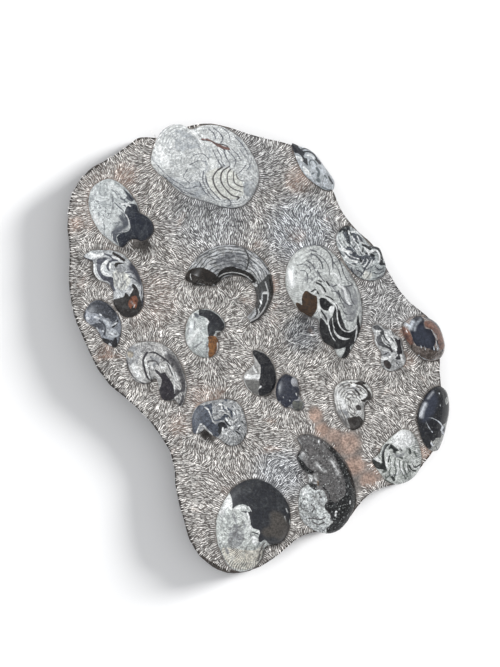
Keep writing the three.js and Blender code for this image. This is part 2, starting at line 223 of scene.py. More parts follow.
LAPPED = {  # where stone laps over a shell, the plan outline of what is left free
    "ammonite_top_large": """
    151,160 154,147 160,133.5 167.6,126.7 177.4,124 186,126.5 191,129.5 202,126 209,125 217,125.5
    226.4,128.5 236,135 244,142 250,151 255.5,161 258.5,171 258.5,181 255.5,190.5 250,200 242,206.5
    232,208.5 224,207.5 216,205.5 206.5,202 196,199 186,195.5 176,189 168,181 159,174 153,167""",
    "ammonite_middle_round": """
    193,313 199,309.5 208,309 216,312.5 222,318 225,325 222.5,330.5 217,333.5 218,340 218.5,347
    216,353.5 210,357.5 202,357 194,353 188,346 185.5,337 186,327 188.5,318.5""",
    "ammonite_small_black": """
    253,350 258,350 264,352.5 269.5,358 273.5,365 276,373 276,382 273.5,389 268,394.5 262,396
    256,394.5 250,391 246,386 243.5,380 244,375 247,370.5 251,367 254,363 253.5,358 252.5,353""",
    "ammonite_right_middle": """
    372,328 375,324.5 380,325 385,329 391,330 395,335 400,338 402,345 403.5,352 405.5,358 404.5,364
    400,368 393,371 387,370.5 382,366.5 380.5,361 381,356 380,351 377,347 374.5,342 374,336""",
    "ammonite_upper_left": """
    108,179 101.5,181 94.9,185.4 90.5,191.5 88.8,200.3 89.3,209.2 92.1,218 96,225.7 101.5,233.4
    108,239 114.7,244 119,246.3 122.5,247 126,244.5 129.5,241 132.4,239.4 137,239.3 141.5,241.2
    146.7,239.5 151.7,235 153.8,229 152.8,223.5 149,218 144,215 140,212.5 138.6,207.5 136,202
    130.2,193.1 124.7,187 119.2,182.7 113.6,180""",
    "ammonite_lower_left": """
    126.5,354.4 126.3,361 128,367 130.3,373.8 134.6,380.3 140,383 145.4,383.7 150.8,381.5
    154.5,378.5 157,380 158.9,387 160,394 163,399.5 169,400.6 175,400 178.5,403 180.5,407 183.5,403
    185.6,395.3 186.9,386.7 185.3,378 182,367.3 176.7,356.6 170.2,349 161.6,343.6 153,341.6
    144.3,341.6 135.7,343.4 129.2,348""",
    "ammonite_small_blue": """
    286,374 290,375.5 293,376.5 297,379 298,384 299.5,390 299.3,396 302,401 304,405 302,409
    297,410.5 292.5,408.5 289,407 285,407.5 281,404 277.5,400.5 275.8,394 276.3,386 279,379.5
    282.5,375.8""",
    "ammonite_lower_right_pale": """
    334,398 333.5,391 337,385 343,381 350,379.5 357,380 363,381 368,385 371.5,391 371.5,397
    368,400.5 365,403 363.8,409 364.3,416 363,422 359,427.5 353,430 347,427.5 342,421.5 337.5,414
    335,406""",
    "ammonite_bottom_large": """
    216,529 216.5,519 219,511 225,499 234,487 246,480 258,479 270,484 281,493 287.5,503 290,512
    290,522 288,532 285,538 279.7,543 272,544.5 266.5,546 263.5,551 261,559 256,566 249,570
    240,571.5 231,568 224.5,560 220,550 217,541""",
}
shells = {name: read_shell(name) for name in DOMES}
for name, outline in LAPPED.items():
    shells[name]["rim"] = on_plan(rows_of(outline))
for name, shell in shells.items():
    eye, rise = np.round(shell["eye"] / MM), shell["rise"] / MM
    print(f"{name}: rim of {len(shell['rim'])} points, eye {eye}, rise {rise:.1f} mm")

# %% [markdown]
# ## The carved ground
# The slab's solid has facets 13 mm apart. Its height is read on a fine grid by looking straight down at it,
# the pockets are bridged with each shell's own rim plane, and a blur of a few millimetres melts the facets
# into the soft mounds that a carver leaves. A few deeper hollows are dug where a shell's edge overhangs.

# %% The open whorl's two circles
WHORL_MIDDLE, WHORL_OUTER, WHORL_TAPER = (228.5, 290), 45, 4.6  # plan units
WHORL_INNER_MIDDLE, WHORL_INNER = (234.3, 297.7), 22.3
WHORL_START, WHORL_END = math.radians(168), math.radians(-56)


def whorl_edges(angle):
    """Inner and outer radius of the open whorl along an angle, in plan units."""
    offset = np.array([WHORL_INNER_MIDDLE[0] - WHORL_MIDDLE[0], WHORL_MIDDLE[1] - WHORL_INNER_MIDDLE[1]])
    along = offset[0] * math.cos(angle) + offset[1] * math.sin(angle)
    inner = along + math.sqrt(WHORL_INNER**2 - offset @ offset + along**2)
    return inner, WHORL_OUTER - WHORL_TAPER * max(0.0, angle / WHORL_END)


def whorl_line(steps=24):
    """The open whorl's outline: out along its outer circle and back along the inner one."""
    angles = np.linspace(WHORL_START, WHORL_END, steps)
    ring = [(a, whorl_edges(a)[1]) for a in angles] + [(a, whorl_edges(a)[0]) for a in angles[::-1]]
    middle = on_plan(WHORL_MIDDLE)
    return np.array([middle + PLAN_STEP * r * np.array([math.cos(a), math.sin(a)]) for a, r in ring])


RIM_STEPS = 64
rims = {name: closed_curve(shell["rim"], RIM_STEPS) for name, shell in shells.items()}
rims[WHORL] = whorl_line()
print(f"the open whorl is {way_round(rims[WHORL]) / MM:.0f} mm round")

# %% Reading the ground
GRID = 2.2 * MM
LOOK_FROM = 0.2  # metres; well above the highest shell
RIM_SHOWS = 0.8 * MM  # a shell's widest line stands this far above the stone
BRIDGE = 2 * MM  # how far past a rim the stone is bridged too
WHORL_BED = 43 * MM  # height of the stone under the open whorl
SHELL_PULL, SHELL_PULL_REACH, PULL_SOFTNESS = 1.0, 14 * MM, 4 * MM

stone_solid = merged_copy("matrix")
stone_tree = BVHTree.FromBMesh(stone_solid)
low, high = (np.array(corner)[:2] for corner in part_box("matrix"))
columns, rows = (np.ceil((high - low) / GRID).astype(int) + 3)
grid_x = low[0] - GRID + GRID * np.arange(columns)
grid_y = low[1] - GRID + GRID * np.arange(rows)
grid_points = np.stack(np.meshgrid(grid_x, grid_y), -1).reshape(-1, 2)


def look_down(points):
    """Height of the stone's solid under each point, and whether it is its carved top."""
    heights, seen = np.zeros(len(points)), np.zeros(len(points), bool)
    for i, (x, y) in enumerate(points):
        hit, normal, _, _ = stone_tree.ray_cast(Vector((x, y, LOOK_FROM)), Vector((0, 0, -1)))
        if hit is not None and normal.z > 0.5:
            heights[i], seen[i] = hit.z, True
    return heights, seen


def pulled(way, depth, strength, reach):
    """Ways out of a line as doubled angles, which makes opposite ways the same, stronger near the line."""
    pull = strength * np.exp(-depth / reach) / (np.maximum(depth, 0) + PULL_SOFTNESS)
    angle = 2 * np.arctan2(way[:, 1], way[:, 0])
    return pull[:, None] * np.stack([np.cos(angle), np.sin(angle)], -1)


ground, known = look_down(grid_points)
shell_depth = np.full(len(grid_points), -1.0)  # depth inside the nearest shell's rim; negative outside all
next_depth = shell_depth.copy()  # and inside the next nearest one's
away_angle = np.zeros((len(grid_points), 2))  # doubled angle of the combed strokes, summed over the rims
for name, line in rims.items():
    depth, way = nearest_on(grid_points, line)
    level = rim_height(shells[name], grid_points) - RIM_SHOWS if name in shells else WHORL_BED
    ground = np.where(depth > -BRIDGE, level, ground)
    known |= depth > -BRIDGE
    next_depth = np.maximum(next_depth, np.minimum(shell_depth, depth))
    shell_depth = np.maximum(shell_depth, depth)
    away_angle += pulled(way, -depth, SHELL_PULL, SHELL_PULL_REACH)
print(f"{known.sum()} of {len(grid_points)} grid points have a height")

# %% Melting the facets
FILL_PASSES, BLUR_PASSES = 60, 14
FILL_LEVEL, FAINT = 30 * MM, 1e-6  # height where the fill blur hardly reaches
POCKET = 5 * MM  # how far the ground drops away under a shell, out of sight
MOUND, MOUND_SIZE = 1.1 * MM, 9 * MM
HOLLOWS = """
    143,246,11,6 97,277,8,6 209,436,8,6 101,350,7,4 152,388,7,5 306,328,16,5 198,282,9,6 232,284,12,5
    302,474,8,6 268,396,5,3 274,544,6,4"""  # plan x and y, radius in plan units, depth in millimetres


def blurred(values, weights, passes):
    """A soft blur that only spreads from the points that are known."""
    v, w = (values * weights).reshape(rows, columns), weights.reshape(rows, columns).astype(float)
    for _ in range(passes):
        for axis in (0, 1):
            v = (np.roll(v, 1, axis) + 2 * v + np.roll(v, -1, axis)) / 4
            w = (np.roll(w, 1, axis) + 2 * w + np.roll(w, -1, axis)) / 4
    return (v / np.maximum(w, TINY)).reshape(-1), w.reshape(-1)


far, reach = blurred(ground, known, FILL_PASSES)
ground = np.where(known, ground, np.where(reach > FAINT, far, FILL_LEVEL))
ground, _ = blurred(ground, np.ones(len(ground)), BLUR_PASSES)
for x, y, radius, depth in rows_of(HOLLOWS):
    ground -= depth * MM * smooth_step(1.0, 0.2, away_from(grid_points, (x, y)) / (radius * PLAN_STEP))
ground -= POCKET * smooth_step(0.5 * MM, 3 * MM, shell_depth)
ground += MOUND * knock(grid_points, 0, MOUND_SIZE, 0)


def from_grid(values, points):
    """A grid value between the grid's points."""
    table = values.reshape(rows, columns)
    fx = np.clip((points[:, 0] - grid_x[0]) / GRID, 0, columns - 1.001)
    fy = np.clip((points[:, 1] - grid_y[0]) / GRID, 0, rows - 1.001)
    i, j = fx.astype(int), fy.astype(int)
    u, v = fx - i, fy - j
    return ((1 - v) * ((1 - u) * table[j, i] + u * table[j, i + 1])
            + v * ((1 - u) * table[j + 1, i] + u * table[j + 1, i + 1]))


print(f"ground from {ground.min() / MM:.0f} to {ground.max() / MM:.0f} mm on {columns} by {rows} points")

# %% [markdown]
# ## The slab
# One closed skin makes the whole slab: rings run from the middle of the carved top out to its edge, down the
# broken side and in under the cut back. The side's place is measured on the solid, at its widest line and
# halfway up. It is then knocked in and out by noise, because it was broken and not sawn.

# %% The slab's side
EDGE_STEPS, EDGE_SOFTENING = 720, 8
BELLY = 9 * MM  # height of the widest line
EDGE_READ = 20 * MM
EDGE_TOP = 30 * MM
STEEP = 0.3  # share of the solid's lean that the fine wall keeps


def level_line(z):
    """The solid's outline at a height, as a loop of points cut through it."""
    cut = stone_solid.copy()
    found = bmesh.ops.bisect_plane(cut, geom=cut.verts[:] + cut.edges[:] + cut.faces[:],
                                   plane_co=(0, 0, z), plane_no=(0, 0, 1))
    loop = longest_loop([e for e in found["geom_cut"] if isinstance(e, bmesh.types.BMEdge)])[:, :2]
    cut.free()
    return loop


def even_line(loop, steps):
    """The loop walked anticlockwise from its rightmost point in even steps."""
    loop = anticlockwise(loop)
    loop = np.roll(loop, -loop[:, 0].argmax(), 0)
    closed = np.vstack([loop, loop[:1]])
    walked = np.r_[0, np.cumsum(np.hypot(*np.diff(closed, axis=0).T))]
    at = np.linspace(0, walked[-1], steps, endpoint=False)
    return np.stack([np.interp(at, walked, closed[:, 0]), np.interp(at, walked, closed[:, 1])], -1)


def side_at(z):
    """The solid's side at a height, in even steps and softened."""
    line = even_line(level_line(z), EDGE_STEPS)
    for _ in range(EDGE_SOFTENING):
        line = (np.roll(line, 1, 0) + 2 * line + np.roll(line, -1, 0)) / 4
    return line


belly, upper, back = side_at(BELLY - 0.2 * MM), side_at(EDGE_READ), side_at(0.3 * MM)
slab_middle = belly.mean(0)


def edge_line(height):
    """The slab's side at a height: in under the belly to the cut back, and a steep wall above it."""
    if height <= BELLY:
        return belly + (back - belly) * ((BELLY - height) / BELLY)
    return belly + STEEP * (upper - belly) * (height - BELLY) / (EDGE_READ - BELLY)


top_edge = edge_line(EDGE_TOP)
print(f"the top edge is {way_round(top_edge):.2f} m round")

# %% The slab's skin
TOP_RINGS, SIDE_RINGS, SIDE_CROWDING = 84, 12, 1.1
TOP_REACH, BRINK_READ, BRINK_DROP = 0.992, 0.985, 1.5 * MM
BREAKAGE, BROKEN_SIZE, CHIPPED_SIZE, CHIPPING = 1.6 * MM, 11 * MM, 4 * MM, 0.6


def skin(name, rings, first, last):
    """A closed mesh over rings of points that all have the same number of points, capped by two points."""
    steps = len(rings[0])
    points = np.clip(np.vstack([[first], *rings, [last]]), *cad_box)
    around = np.arange(steps)
    after = (around + 1) % steps
    faces = [(0, 1 + a, 1 + b) for a, b in zip(around, after)]
    for r in range(len(rings) - 1):
        start = 1 + r * steps
        faces += [(start + a, start + steps + a, start + steps + b, start + b) for a, b in zip(around, after)]
    start = 1 + (len(rings) - 1) * steps
    faces += [(start + a, len(points) - 1, start + b) for a, b in zip(around, after)]
    mesh = bpy.data.meshes.new(name)
    mesh.from_pydata(points.tolist(), [], faces)
    mesh.validate()
    mesh.shade_smooth()
    piece = bpy.data.objects.new(name, mesh)
    bpy.context.scene.collection.objects.link(piece)
    return piece, points


edge_height = from_grid(ground, slab_middle + (top_edge - slab_middle) * BRINK_READ) - BRINK_DROP
slab_rings = []
for f in np.linspace(0, 1, TOP_RINGS + 1)[1:]:
    ring = slab_middle + (top_edge - slab_middle) * min(f, TOP_REACH)
    slab_rings.append(np.c_[ring, from_grid(ground, ring)])
for k in range(SIDE_RINGS):
    height = edge_height * (1 - (k / (SIDE_RINGS - 1)) ** SIDE_CROWDING)
    level = float(np.mean(height))
    line = edge_line(level)
    inward = (slab_middle - line) / np.hypot(*(slab_middle - line).T)[:, None]
    rough = knock(line, level, BROKEN_SIZE, 3) + CHIPPING * knock(line, level, CHIPPED_SIZE, 9)
    push = BREAKAGE * (0.55 - 0.5 * rough) * (1 if 0 < k < SIDE_RINGS - 1 else 0.4)
    slab_rings.append(np.c_[line + inward * np.maximum(push, 0)[:, None], height])
centre_height = float(from_grid(ground, slab_middle[None])[0])
stone, stone_points = skin("carved_stone", slab_rings, [*slab_middle, centre_height], [*slab_middle, 0])
print(f"slab skin of {len(stone.data.polygons)} faces, {stone_points[:, 2].max() / MM:.0f} mm high")

# %% [markdown]
# ## A bench for nodes
# Every finish here is a small tree of shader nodes and every repeated thing a small tree of geometry nodes.
# Placing a node, filling its sockets and linking them is the same three steps each time, so a bench holds one
# tree and does them in one move: a value that is itself a socket gets linked, and anything else is written
# into the socket.

# %% The node bench


class Bench:
    """One node tree, with the few moves that every finish here is made of."""

    def __init__(self, tree):
        self.tree = tree

    def fill(self, socket, value):
        if isinstance(value, bpy.types.NodeSocket):
            self.tree.links.new(value, socket)
        else:
            socket.default_value = value

    def add(self, kind, sockets=(), **settings):
        """One node: `settings` are its own properties, `sockets` its inputs by name or number."""
        node = self.tree.nodes.new(kind)
        for name, value in settings.items():
            setattr(node, name, value)
        for name, value in dict(sockets).items():
            self.fill(node.inputs[name], value)
        return node

    def maths(self, operation, *values):
        return self.add("ShaderNodeMath", dict(enumerate(values)), operation=operation).outputs[0]

    def plus(self, first, second):
        return self.maths("ADD", first, second)

    def minus(self, first, second):
        return self.maths("SUBTRACT", first, second)

    def times(self, first, *others):
        for other in others:
            first = self.maths("MULTIPLY", first, other)
        return first

    def times_plus(self, first, factor, added):
        return self.maths("MULTIPLY_ADD", first, factor, added)

    def spread(self, value, low, high, to_low=0.0, to_high=1.0):
        """A value remapped smoothly from low..high to to_low..to_high."""
        sockets = {"Value": value, "From Min": low, "From Max": high, "To Min": to_low, "To Max": to_high}
        return self.add("ShaderNodeMapRange", sockets, interpolation_type="SMOOTHSTEP").outputs[0]

    def blend(self, share, first, second, kind="MIX"):
        """Two colours mixed. The node has sockets for numbers and vectors too; only the live ones count."""
        sockets = {"Factor": share, "A": first, "B": second}
        node = self.add("ShaderNodeMix", data_type="RGBA", blend_type=kind)
        for socket in node.inputs:
            if socket.name in sockets and socket.enabled:
                self.fill(socket, sockets[socket.name])
        return next(s for s in node.outputs if s.enabled)

    def shaded(self, colour, brightness):
        """A colour made brighter or darker by a number."""
        grey = self.add("ShaderNodeCombineXYZ", {0: brightness, 1: brightness, 2: brightness}).outputs[0]
        return self.blend(1.0, colour, grey, "MULTIPLY")

    def attribute(self, name):
        return self.add("ShaderNodeAttribute", attribute_name=name).outputs["Fac"]

    def place(self):
        return self.add("ShaderNodeTexCoord").outputs["Object"]

    def grain(self, place, scale, detail=3.0, distortion=0.0, roughness=0.5):
        sockets = {"Vector": place, "Scale": scale, "Detail": detail, "Distortion": distortion,
                   "Roughness": roughness}
        return self.add("ShaderNodeTexNoise", sockets).outputs[0]

    def bump(self, height, distance, strength):
        values = {"Height": height, "Distance": distance, "Strength": strength}
        return self.add("ShaderNodeBump", values).outputs[0]

    def group(self, tree, sockets):
        return self.add(self.tree.bl_idname.replace("Tree", "Group"), sockets, node_tree=tree).outputs


def paint(red, green, blue):
    """A colour as a paint chart gives it, 0 to 255, as the light-linear colour that a shader wants."""
    share = np.array([red, green, blue]) / 255
    return (*np.where(share < 0.04045, share / 12.92, ((share + 0.055) / 1.055) ** 2.4), 1.0)


def node_tree(name, kind, inputs, outputs):
    """A bench on an empty node group with named sockets, given as (title, socket kind, starting value)."""
    tree = bpy.data.node_groups.new(name, kind)
    for way, sockets in (("INPUT", inputs), ("OUTPUT", outputs)):
        for title, socket_kind, *value in sockets:
            socket = tree.interface.new_socket(title, in_out=way, socket_type="NodeSocket" + socket_kind)
            if value:
                socket.default_value = value[0]
    return Bench(tree), tree.nodes.new("NodeGroupInput").outputs, tree.nodes.new("NodeGroupOutput").inputs


def new_material(name):
    """An empty finish: the material, its bench, its shader's sockets and the place on the piece."""
    material = bpy.data.materials.new(name)
    material.use_nodes = True
    bench = Bench(material.node_tree)
    bench.tree.nodes.clear()
    shader = bench.add("ShaderNodeBsdfPrincipled")
    bench.add("ShaderNodeOutputMaterial", {0: shader.outputs[0]})
    return material, bench, shader.inputs, bench.place()


# %% [markdown]
# ## The stone's finish
# The limestone is a dark brown-grey inside, and every blow of the chisel bruises it to a pale cream. The
# colour drifts across the plate: warm and brown at the left, cool at the top right, rusty where iron has
# crept in. One group gives that drift to the ground and to the strokes alike, so that they stay one stone.

# %% Stone colours
DRIFT_SIZE, GRAIN_SIZE, CLOUD_SIZE, PIT_SIZE = 28, 420, 75, 160  # all as noise scales: larger is finer

tint, given, made = node_tree(
    "stone_tint", "ShaderNodeTree",
    [("Stone", "Color"), ("Rust", "Color"), ("Cool", "Color"), ("Drift", "Float")],
    [("Color", "Color"), ("Grain", "Float")],
)
place = tint.place()
coarse = tint.grain(place, DRIFT_SIZE, detail=4, distortion=0.4)
fine = tint.grain(place, GRAIN_SIZE, detail=4)
rusty = tint.times(tint.attribute("rusty"), tint.spread(coarse, 0.3, 0.55, 0.55, 1))
rusty = tint.plus(rusty, tint.spread(coarse, 0.6, 0.75, 0, 0.5))
cooled = tint.blend(tint.attribute("cool"), given["Stone"], given["Cool"])
cloudy = tint.spread(tint.grain(place, CLOUD_SIZE), 0.3, 0.7)
# brightness: grain, drift, tone (on the ground partly painted light) and painted shade from the shaded number
brightness = tint.times(
    tint.spread(fine, 0.3, 0.7, 0.62, 1.38),
    tint.times_plus(cloudy, given["Drift"], 0.9),
    tint.times_plus(tint.attribute("tone"), 0.75, 0.97),
    tint.times_plus(tint.attribute("shaded"), -0.62, 1.0),
)
tint.fill(made["Color"], tint.shaded(tint.blend(rusty, cooled, given["Rust"]), brightness))
tint.fill(made["Grain"], fine)


def stone_finish(name, colours, roughness, bump, drift):
    """One finish of the stone, from its own, its rusty and its cool colour."""
    material, bench, shader, place = new_material(name)
    stone, rust, cool = (paint(*colour) for colour in rows_of(colours))
    tinted = bench.group(tint.tree, {"Stone": stone, "Rust": rust, "Cool": cool, "Drift": drift})
    pits = bench.grain(place, PIT_SIZE, detail=5, distortion=0.5, roughness=0.7)
    pits = bench.times_plus(tinted["Grain"], 0.5, pits)
    bench.fill(shader["Base Color"], tinted["Color"])
    bench.fill(shader["Roughness"], roughness)
    bench.fill(shader["Specular IOR Level"], 0.3)
    bench.fill(shader["Normal"], bench.bump(pits, bump, 1.0))
    return material


ground_finish = stone_finish("carved_ground", "112,108,105 154,131,119 106,109,114", 0.85, 2.4 * MM, 0.5)
bruise_finish = stone_finish("chisel_bruise", "244,242,239 216,205,198 238,241,244", 0.8, 0.5 * MM, 0.3)
broken_finish = stone_finish("broken_side", "70,64,60 96,76,64 70,70,74", 0.9, 2.2 * MM, 0.4)
print(f"{len(tint.tree.nodes)} nodes in the stone's tint")

# %% [markdown]
# ## Where the stone is rusty, cool, painted in shade or left smooth
# These are soft patches on the plan. A blob fades out from its middle, and one band between the shells at
# the lower right was never chiselled at all, so no stroke is laid inside its outline. The brink at the left
# gets painted shade, broken up by noise. Round a shell a paler border is painted: partly the chisel's last,
# light taps, partly painted light that lifts the shade where the stone meets the shell. Uncut stone is
# paler too.

# %% Patches
# plan x and y, radius in plan units, strength
RUSTY = """
    125,175,13,0.6 73,225,10,0.5 105,352,9,0.5 178,425,12,0.4 270,285,9,0.7 300,180,15,0.7
    200,395,14,0.4 407,360,9,0.6 427,452,8,0.8 315,415,8,0.9 322,430,8,0.9 348,444,12,0.9
    334,436,9,0.7 338,448,7,0.6 355,465,11,0.9 368,480,9,0.8 404,332,6,0.8 150,300,30,0.25
    105,200,30,0.25"""
# the patch at 303,333 also cools the painted shade left of the right-hand large shell
COOL = """
    300,230,40,0.9 303,333,20,0.8 210,215,45,0.6 280,475,30,0.8 250,160,40,0.4 390,300,40,0.4"""
# painted shade: stone and strokes darkened where recesses and overhanging shells would shade them;
# a few patches are darker stone
PAINTED_SHADE_PATCHES = """
    144,247,10,0.9 97,276,7,0.9 207,436,9,0.9 101,350,6,0.5 308,325,13,0.75 318,345,9,0.5
    300,318,8,0.6 197,284,8,0.5 228,281,7,0.5 242,280,6,0.4 304,476,6,0.2 268,396,5,0.5
    274,544,6,0.6 207,210,8,0.5 186,203,8,0.4 176,402,7,0.4 400,370,6,0.4 358,300,5,0.4
    334,480,6,0.3 348,360,7,0.4 424,362,9,0.4 299,334,22,0.5 262,262,12,0.3 279,168,10,0.35
    311,192,10,0.35 287,306,10,0.45 338,363,9,0.35 209,214,10,0.35 82,262,9,0.4 104,352,8,0.35
    186,492,8,0.35 96,269,6,0.7 385,381,7,0.4 220,212,6,0.5 127,250,6,0.6 78,276,7,0.6 106,364,6,0.5"""
# a closed outline on the plan
UNCUT_BAND = """
    307,406 322,407 329,424 345,430 361,433 364,456 373,468 382,480 364,487 356,500 352,480 346,462
    335,447 318,433"""


def patches(points, blobs):
    """How strongly each point lies in the soft patches, 0 to 1."""
    total = np.zeros(len(points))
    for x, y, radius, strength in rows_of(blobs):
        away = away_from(points, (x, y)) / (radius * PLAN_STEP)
        total = np.maximum(total, strength * smooth_step(1.3, 0.4, away))
    return total


def write(mesh, name, values):
    """One number or vector for each point of a mesh, for a finish or a node tree to read."""
    values = np.asarray(values)
    kind, field, form = "FLOAT", "value", np.float32
    if values.ndim == 2:
        kind, field = "FLOAT_VECTOR", "vector"
    elif values.dtype.kind == "i":
        kind, form = "INT", np.int32
    mesh.attributes.new(name, kind, "POINT").data.foreach_set(field, values.astype(form).ravel())


# %% Dressing the slab
BRINK_SHADE_SIZE, BORDER, LIP_AND_PAINTED_LIGHT, UNCUT_TONE = 5 * MM, 4 * MM, 0.8, 0.45

uncut, _ = nearest_on(grid_points, closed_curve(on_plan(rows_of(UNCUT_BAND)), 80))
xy = stone_points[:, :2]
outward = xy - slab_middle
leftward = smooth_step(-0.1, -0.5, outward[:, 0] / np.maximum(np.hypot(*outward.T), MM))
brink = np.arange(len(xy)) > (TOP_RINGS - 1) * EDGE_STEPS  # the last ring of the top, and the side
# painted shade along the left brink, where the side turns away from the light, broken up by noise
left_brink_shade = 0.85 * brink * leftward * np.clip(0.8 + knock(xy, 0, BRINK_SHADE_SIZE, 2), 0, 1.1)
near_shell = smooth_step(-BORDER, -0.5 * MM, from_grid(shell_depth, xy))
smooth_share = smooth_step(-2 * MM, 1 * MM, from_grid(uncut, xy))
write(stone.data, "rusty", patches(xy, RUSTY))
write(stone.data, "cool", patches(xy, COOL))
write(stone.data, "shaded", np.maximum(patches(xy, PAINTED_SHADE_PATCHES), left_brink_shade))
# the paler border round each shell is partly the chisel's light lip and partly painted light that lifts the
# shade where stone meets shell
write(stone.data, "tone", np.maximum(LIP_AND_PAINTED_LIGHT * near_shell, UNCUT_TONE * smooth_share))
stone.data.materials.append(ground_finish)
stone.data.materials.append(broken_finish)
which = np.zeros(len(stone.data.polygons), np.int32)
which[EDGE_STEPS * TOP_RINGS :] = 1  # faces of the side and the back
stone.data.polygons.foreach_set("material_index", which)
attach(stone, "root")
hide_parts("matrix")
print(f"{(uncut > 0).sum()} ground points lie in the uncut band")

# %% [markdown]
# ## Which way the chisel went
# Strokes run straight out from the nearest shell, and square to the plate's own edge beside it. Between two
# shells they have to agree. A stroke has no front or back, so directions are averaged as doubled angles,
# which makes opposite directions the same. Strokes are then thrown like darts: one that would land on
# another's long, narrow share of the stone is thrown away.

# %% The combing field
EDGE_LINE_STEPS = 240
EDGE_PULL, EDGE_PULL_REACH = 0.8, 12 * MM
WANDER, WANDER_SIZE = 0.5, 14 * MM

edge_depth, edge_way = nearest_on(grid_points, even_line(top_edge, EDGE_LINE_STEPS))
away_angle += pulled(edge_way, np.maximum(edge_depth, 0), EDGE_PULL, EDGE_PULL_REACH)
wander = WANDER * knock(grid_points, 0.3, WANDER_SIZE, 0)


def stroke_angle(points):
    """The angle that strokes take at each point."""
    doubled = np.arctan2(from_grid(away_angle[:, 1], points), from_grid(away_angle[:, 0], points))
    return doubled / 2 + from_grid(wander, points)


print(f"strokes turn up to {np.degrees(np.abs(wander).max()):.0f} degrees off the field")

# %% Throwing the strokes
STROKE, SHORTEST = 9.0 * MM, 2.5 * MM
FRINGE_PITCH = 2.5 * MM  # spacing of the first row of strokes round a shell
THROWS, TURN_SPREAD = 200000, 0.1
RIDGES = ["283,336 291,342 301,345 311,349 321,351", "256,462 261,470 268,480", "114,302 118,311 124,325",
          "152,132 156,141 151,150"]  # lines of longer strokes laid end to end, on the plan
BARE = """
    92.5,266,3 93.5,271,3 96,276,3.2 100,280,3 105,283,2.6 111,287,3 218,208.5,3 145,246,6 136,245,5 205,434,5
    212,437,4 304,320,4 309,330,4"""  # plan x, y and radius of undercuts that no chisel could reach

fringe = []
for line in rims.values():
    steps = max(12, int(way_round(line) / FRINGE_PITCH))
    row = even_line(line, steps)
    ahead = np.roll(row, -1, 0) - np.roll(row, 1, 0)
    out = np.stack([ahead[:, 1], -ahead[:, 0]], -1) / np.hypot(*ahead.T)[:, None]
    fringe.append(row + out * rng.uniform(0.42, 0.55, (steps, 1)) * STROKE)
throws = np.vstack([*fringe, rng.uniform(low, high, (THROWS, 2))])
lengths = STROKE * rng.uniform(0.55, 1.2, len(throws))
lengths = np.minimum(lengths, -0.85 * from_grid(shell_depth + next_depth, throws))  # fits a narrow gap
fits = (from_grid(shell_depth, throws) < -0.38 * lengths) & (lengths > SHORTEST)
fits &= (from_grid(edge_depth, throws) > 0.25 * lengths) & (from_grid(uncut, throws) < 1 * MM)
for x, y, radius in rows_of(BARE):
    fits &= away_from(throws, (x, y)) > radius * PLAN_STEP
throws, lengths = throws[fits], lengths[fits]
angles = stroke_angle(throws) + rng.normal(0, TURN_SPREAD, len(throws))
for ridge in RIDGES:
    bend = open_curve(on_plan(rows_of(ridge)), 3)
    step = np.diff(bend, axis=0)
    throws = np.vstack([bend[:-1], throws])
    lengths = np.r_[np.full(len(step), 1.1 * STROKE), lengths]
    angles = np.r_[np.arctan2(step[:, 1], step[:, 0]), angles]
print(f"{len(throws)} throws fit between the shells")

# %% Keeping the strokes that are clear
APART_ALONG, APART_ACROSS = 5.8 * MM, 1.32 * MM

heading = np.stack([np.cos(angles), np.sin(angles)], -1)
taken, kept = {}, []
for k, (x, y) in enumerate(throws):
    column, row = int(x // APART_ALONG), int(y // APART_ALONG)
    ux, uy = heading[k]
    clear = True
    for other in (o for i in (-1, 0, 1) for j in (-1, 0, 1) for o in taken.get((column + i, row + j), ())):
        dx, dy = throws[other][0] - x, throws[other][1] - y
        along, across = dx * ux + dy * uy, dx * uy - dy * ux
        if (along / APART_ALONG) ** 2 + (across / APART_ACROSS) ** 2 < 1:
            clear = False
            break
    if clear:
        taken.setdefault((column, row), []).append(k)
        kept.append(k)
stroke_at, stroke_length, stroke_turn = throws[kept], lengths[kept], angles[kept]
print(f"{len(kept)} chisel strokes")

# %% [markdown]
# ## Cutting the strokes
# Each bruise is one long, low lens of sixteen faces, bowed to the left, straight or bowed to the right.
# Geometry Nodes put one of the three on every laid point, turn it along the stroke, tip it with the slope of
# the ground, and make each half of the plate one mesh. Each lens keeps its point's numbers, so its finish can
# vary.

# %% The stroke tree
STROKE_WIDTH, STROKE_HEIGHT = 1.05 * MM, 1.4 * MM
BOW = (-0.6, 0.0, 0.6)  # how far a lens bows to its side, in widths

strokes_tree, given, made = node_tree(
    "lay_strokes", "GeometryNodeTree",
    [("Geometry", "Geometry"), ("Width", "Float", STROKE_WIDTH), ("Height", "Float", STROKE_HEIGHT),
     ("Finish", "Material")],
    [("Geometry", "Geometry")],
)


def named(name, kind="FLOAT"):
    """A number or vector that the laid points carry."""
    node = strokes_tree.add("GeometryNodeInputNamedAttribute", {"Name": name}, data_type=kind)
    return next(s for s in node.outputs if s.enabled and s.name == "Attribute")


lens = strokes_tree.add("GeometryNodeMeshUVSphere", {"Segments": 4, "Rings": 4, "Radius": 0.5})
turn = {"Geometry": lens.outputs["Mesh"], "Rotation": (0, math.pi / 2, 0)}
lens = strokes_tree.add("GeometryNodeTransform", turn).outputs[0]
here = strokes_tree.add("GeometryNodeInputPosition").outputs[0]
along = strokes_tree.add("ShaderNodeSeparateXYZ", {0: here}).outputs[0]
bowed = strokes_tree.add("GeometryNodeJoinGeometry")
for bow in reversed(BOW):
    aside = strokes_tree.times(along, along, 4 * bow)
    aside = strokes_tree.add("ShaderNodeCombineXYZ", {1: aside}).outputs[0]
    one = strokes_tree.add("GeometryNodeSetPosition", {"Geometry": lens, "Offset": aside}).outputs[0]
    one = strokes_tree.add("GeometryNodeGeometryToInstance", {0: one}).outputs[0]
    strokes_tree.fill(bowed.inputs[0], one)
wide = strokes_tree.times(given["Width"], named("breadth"))
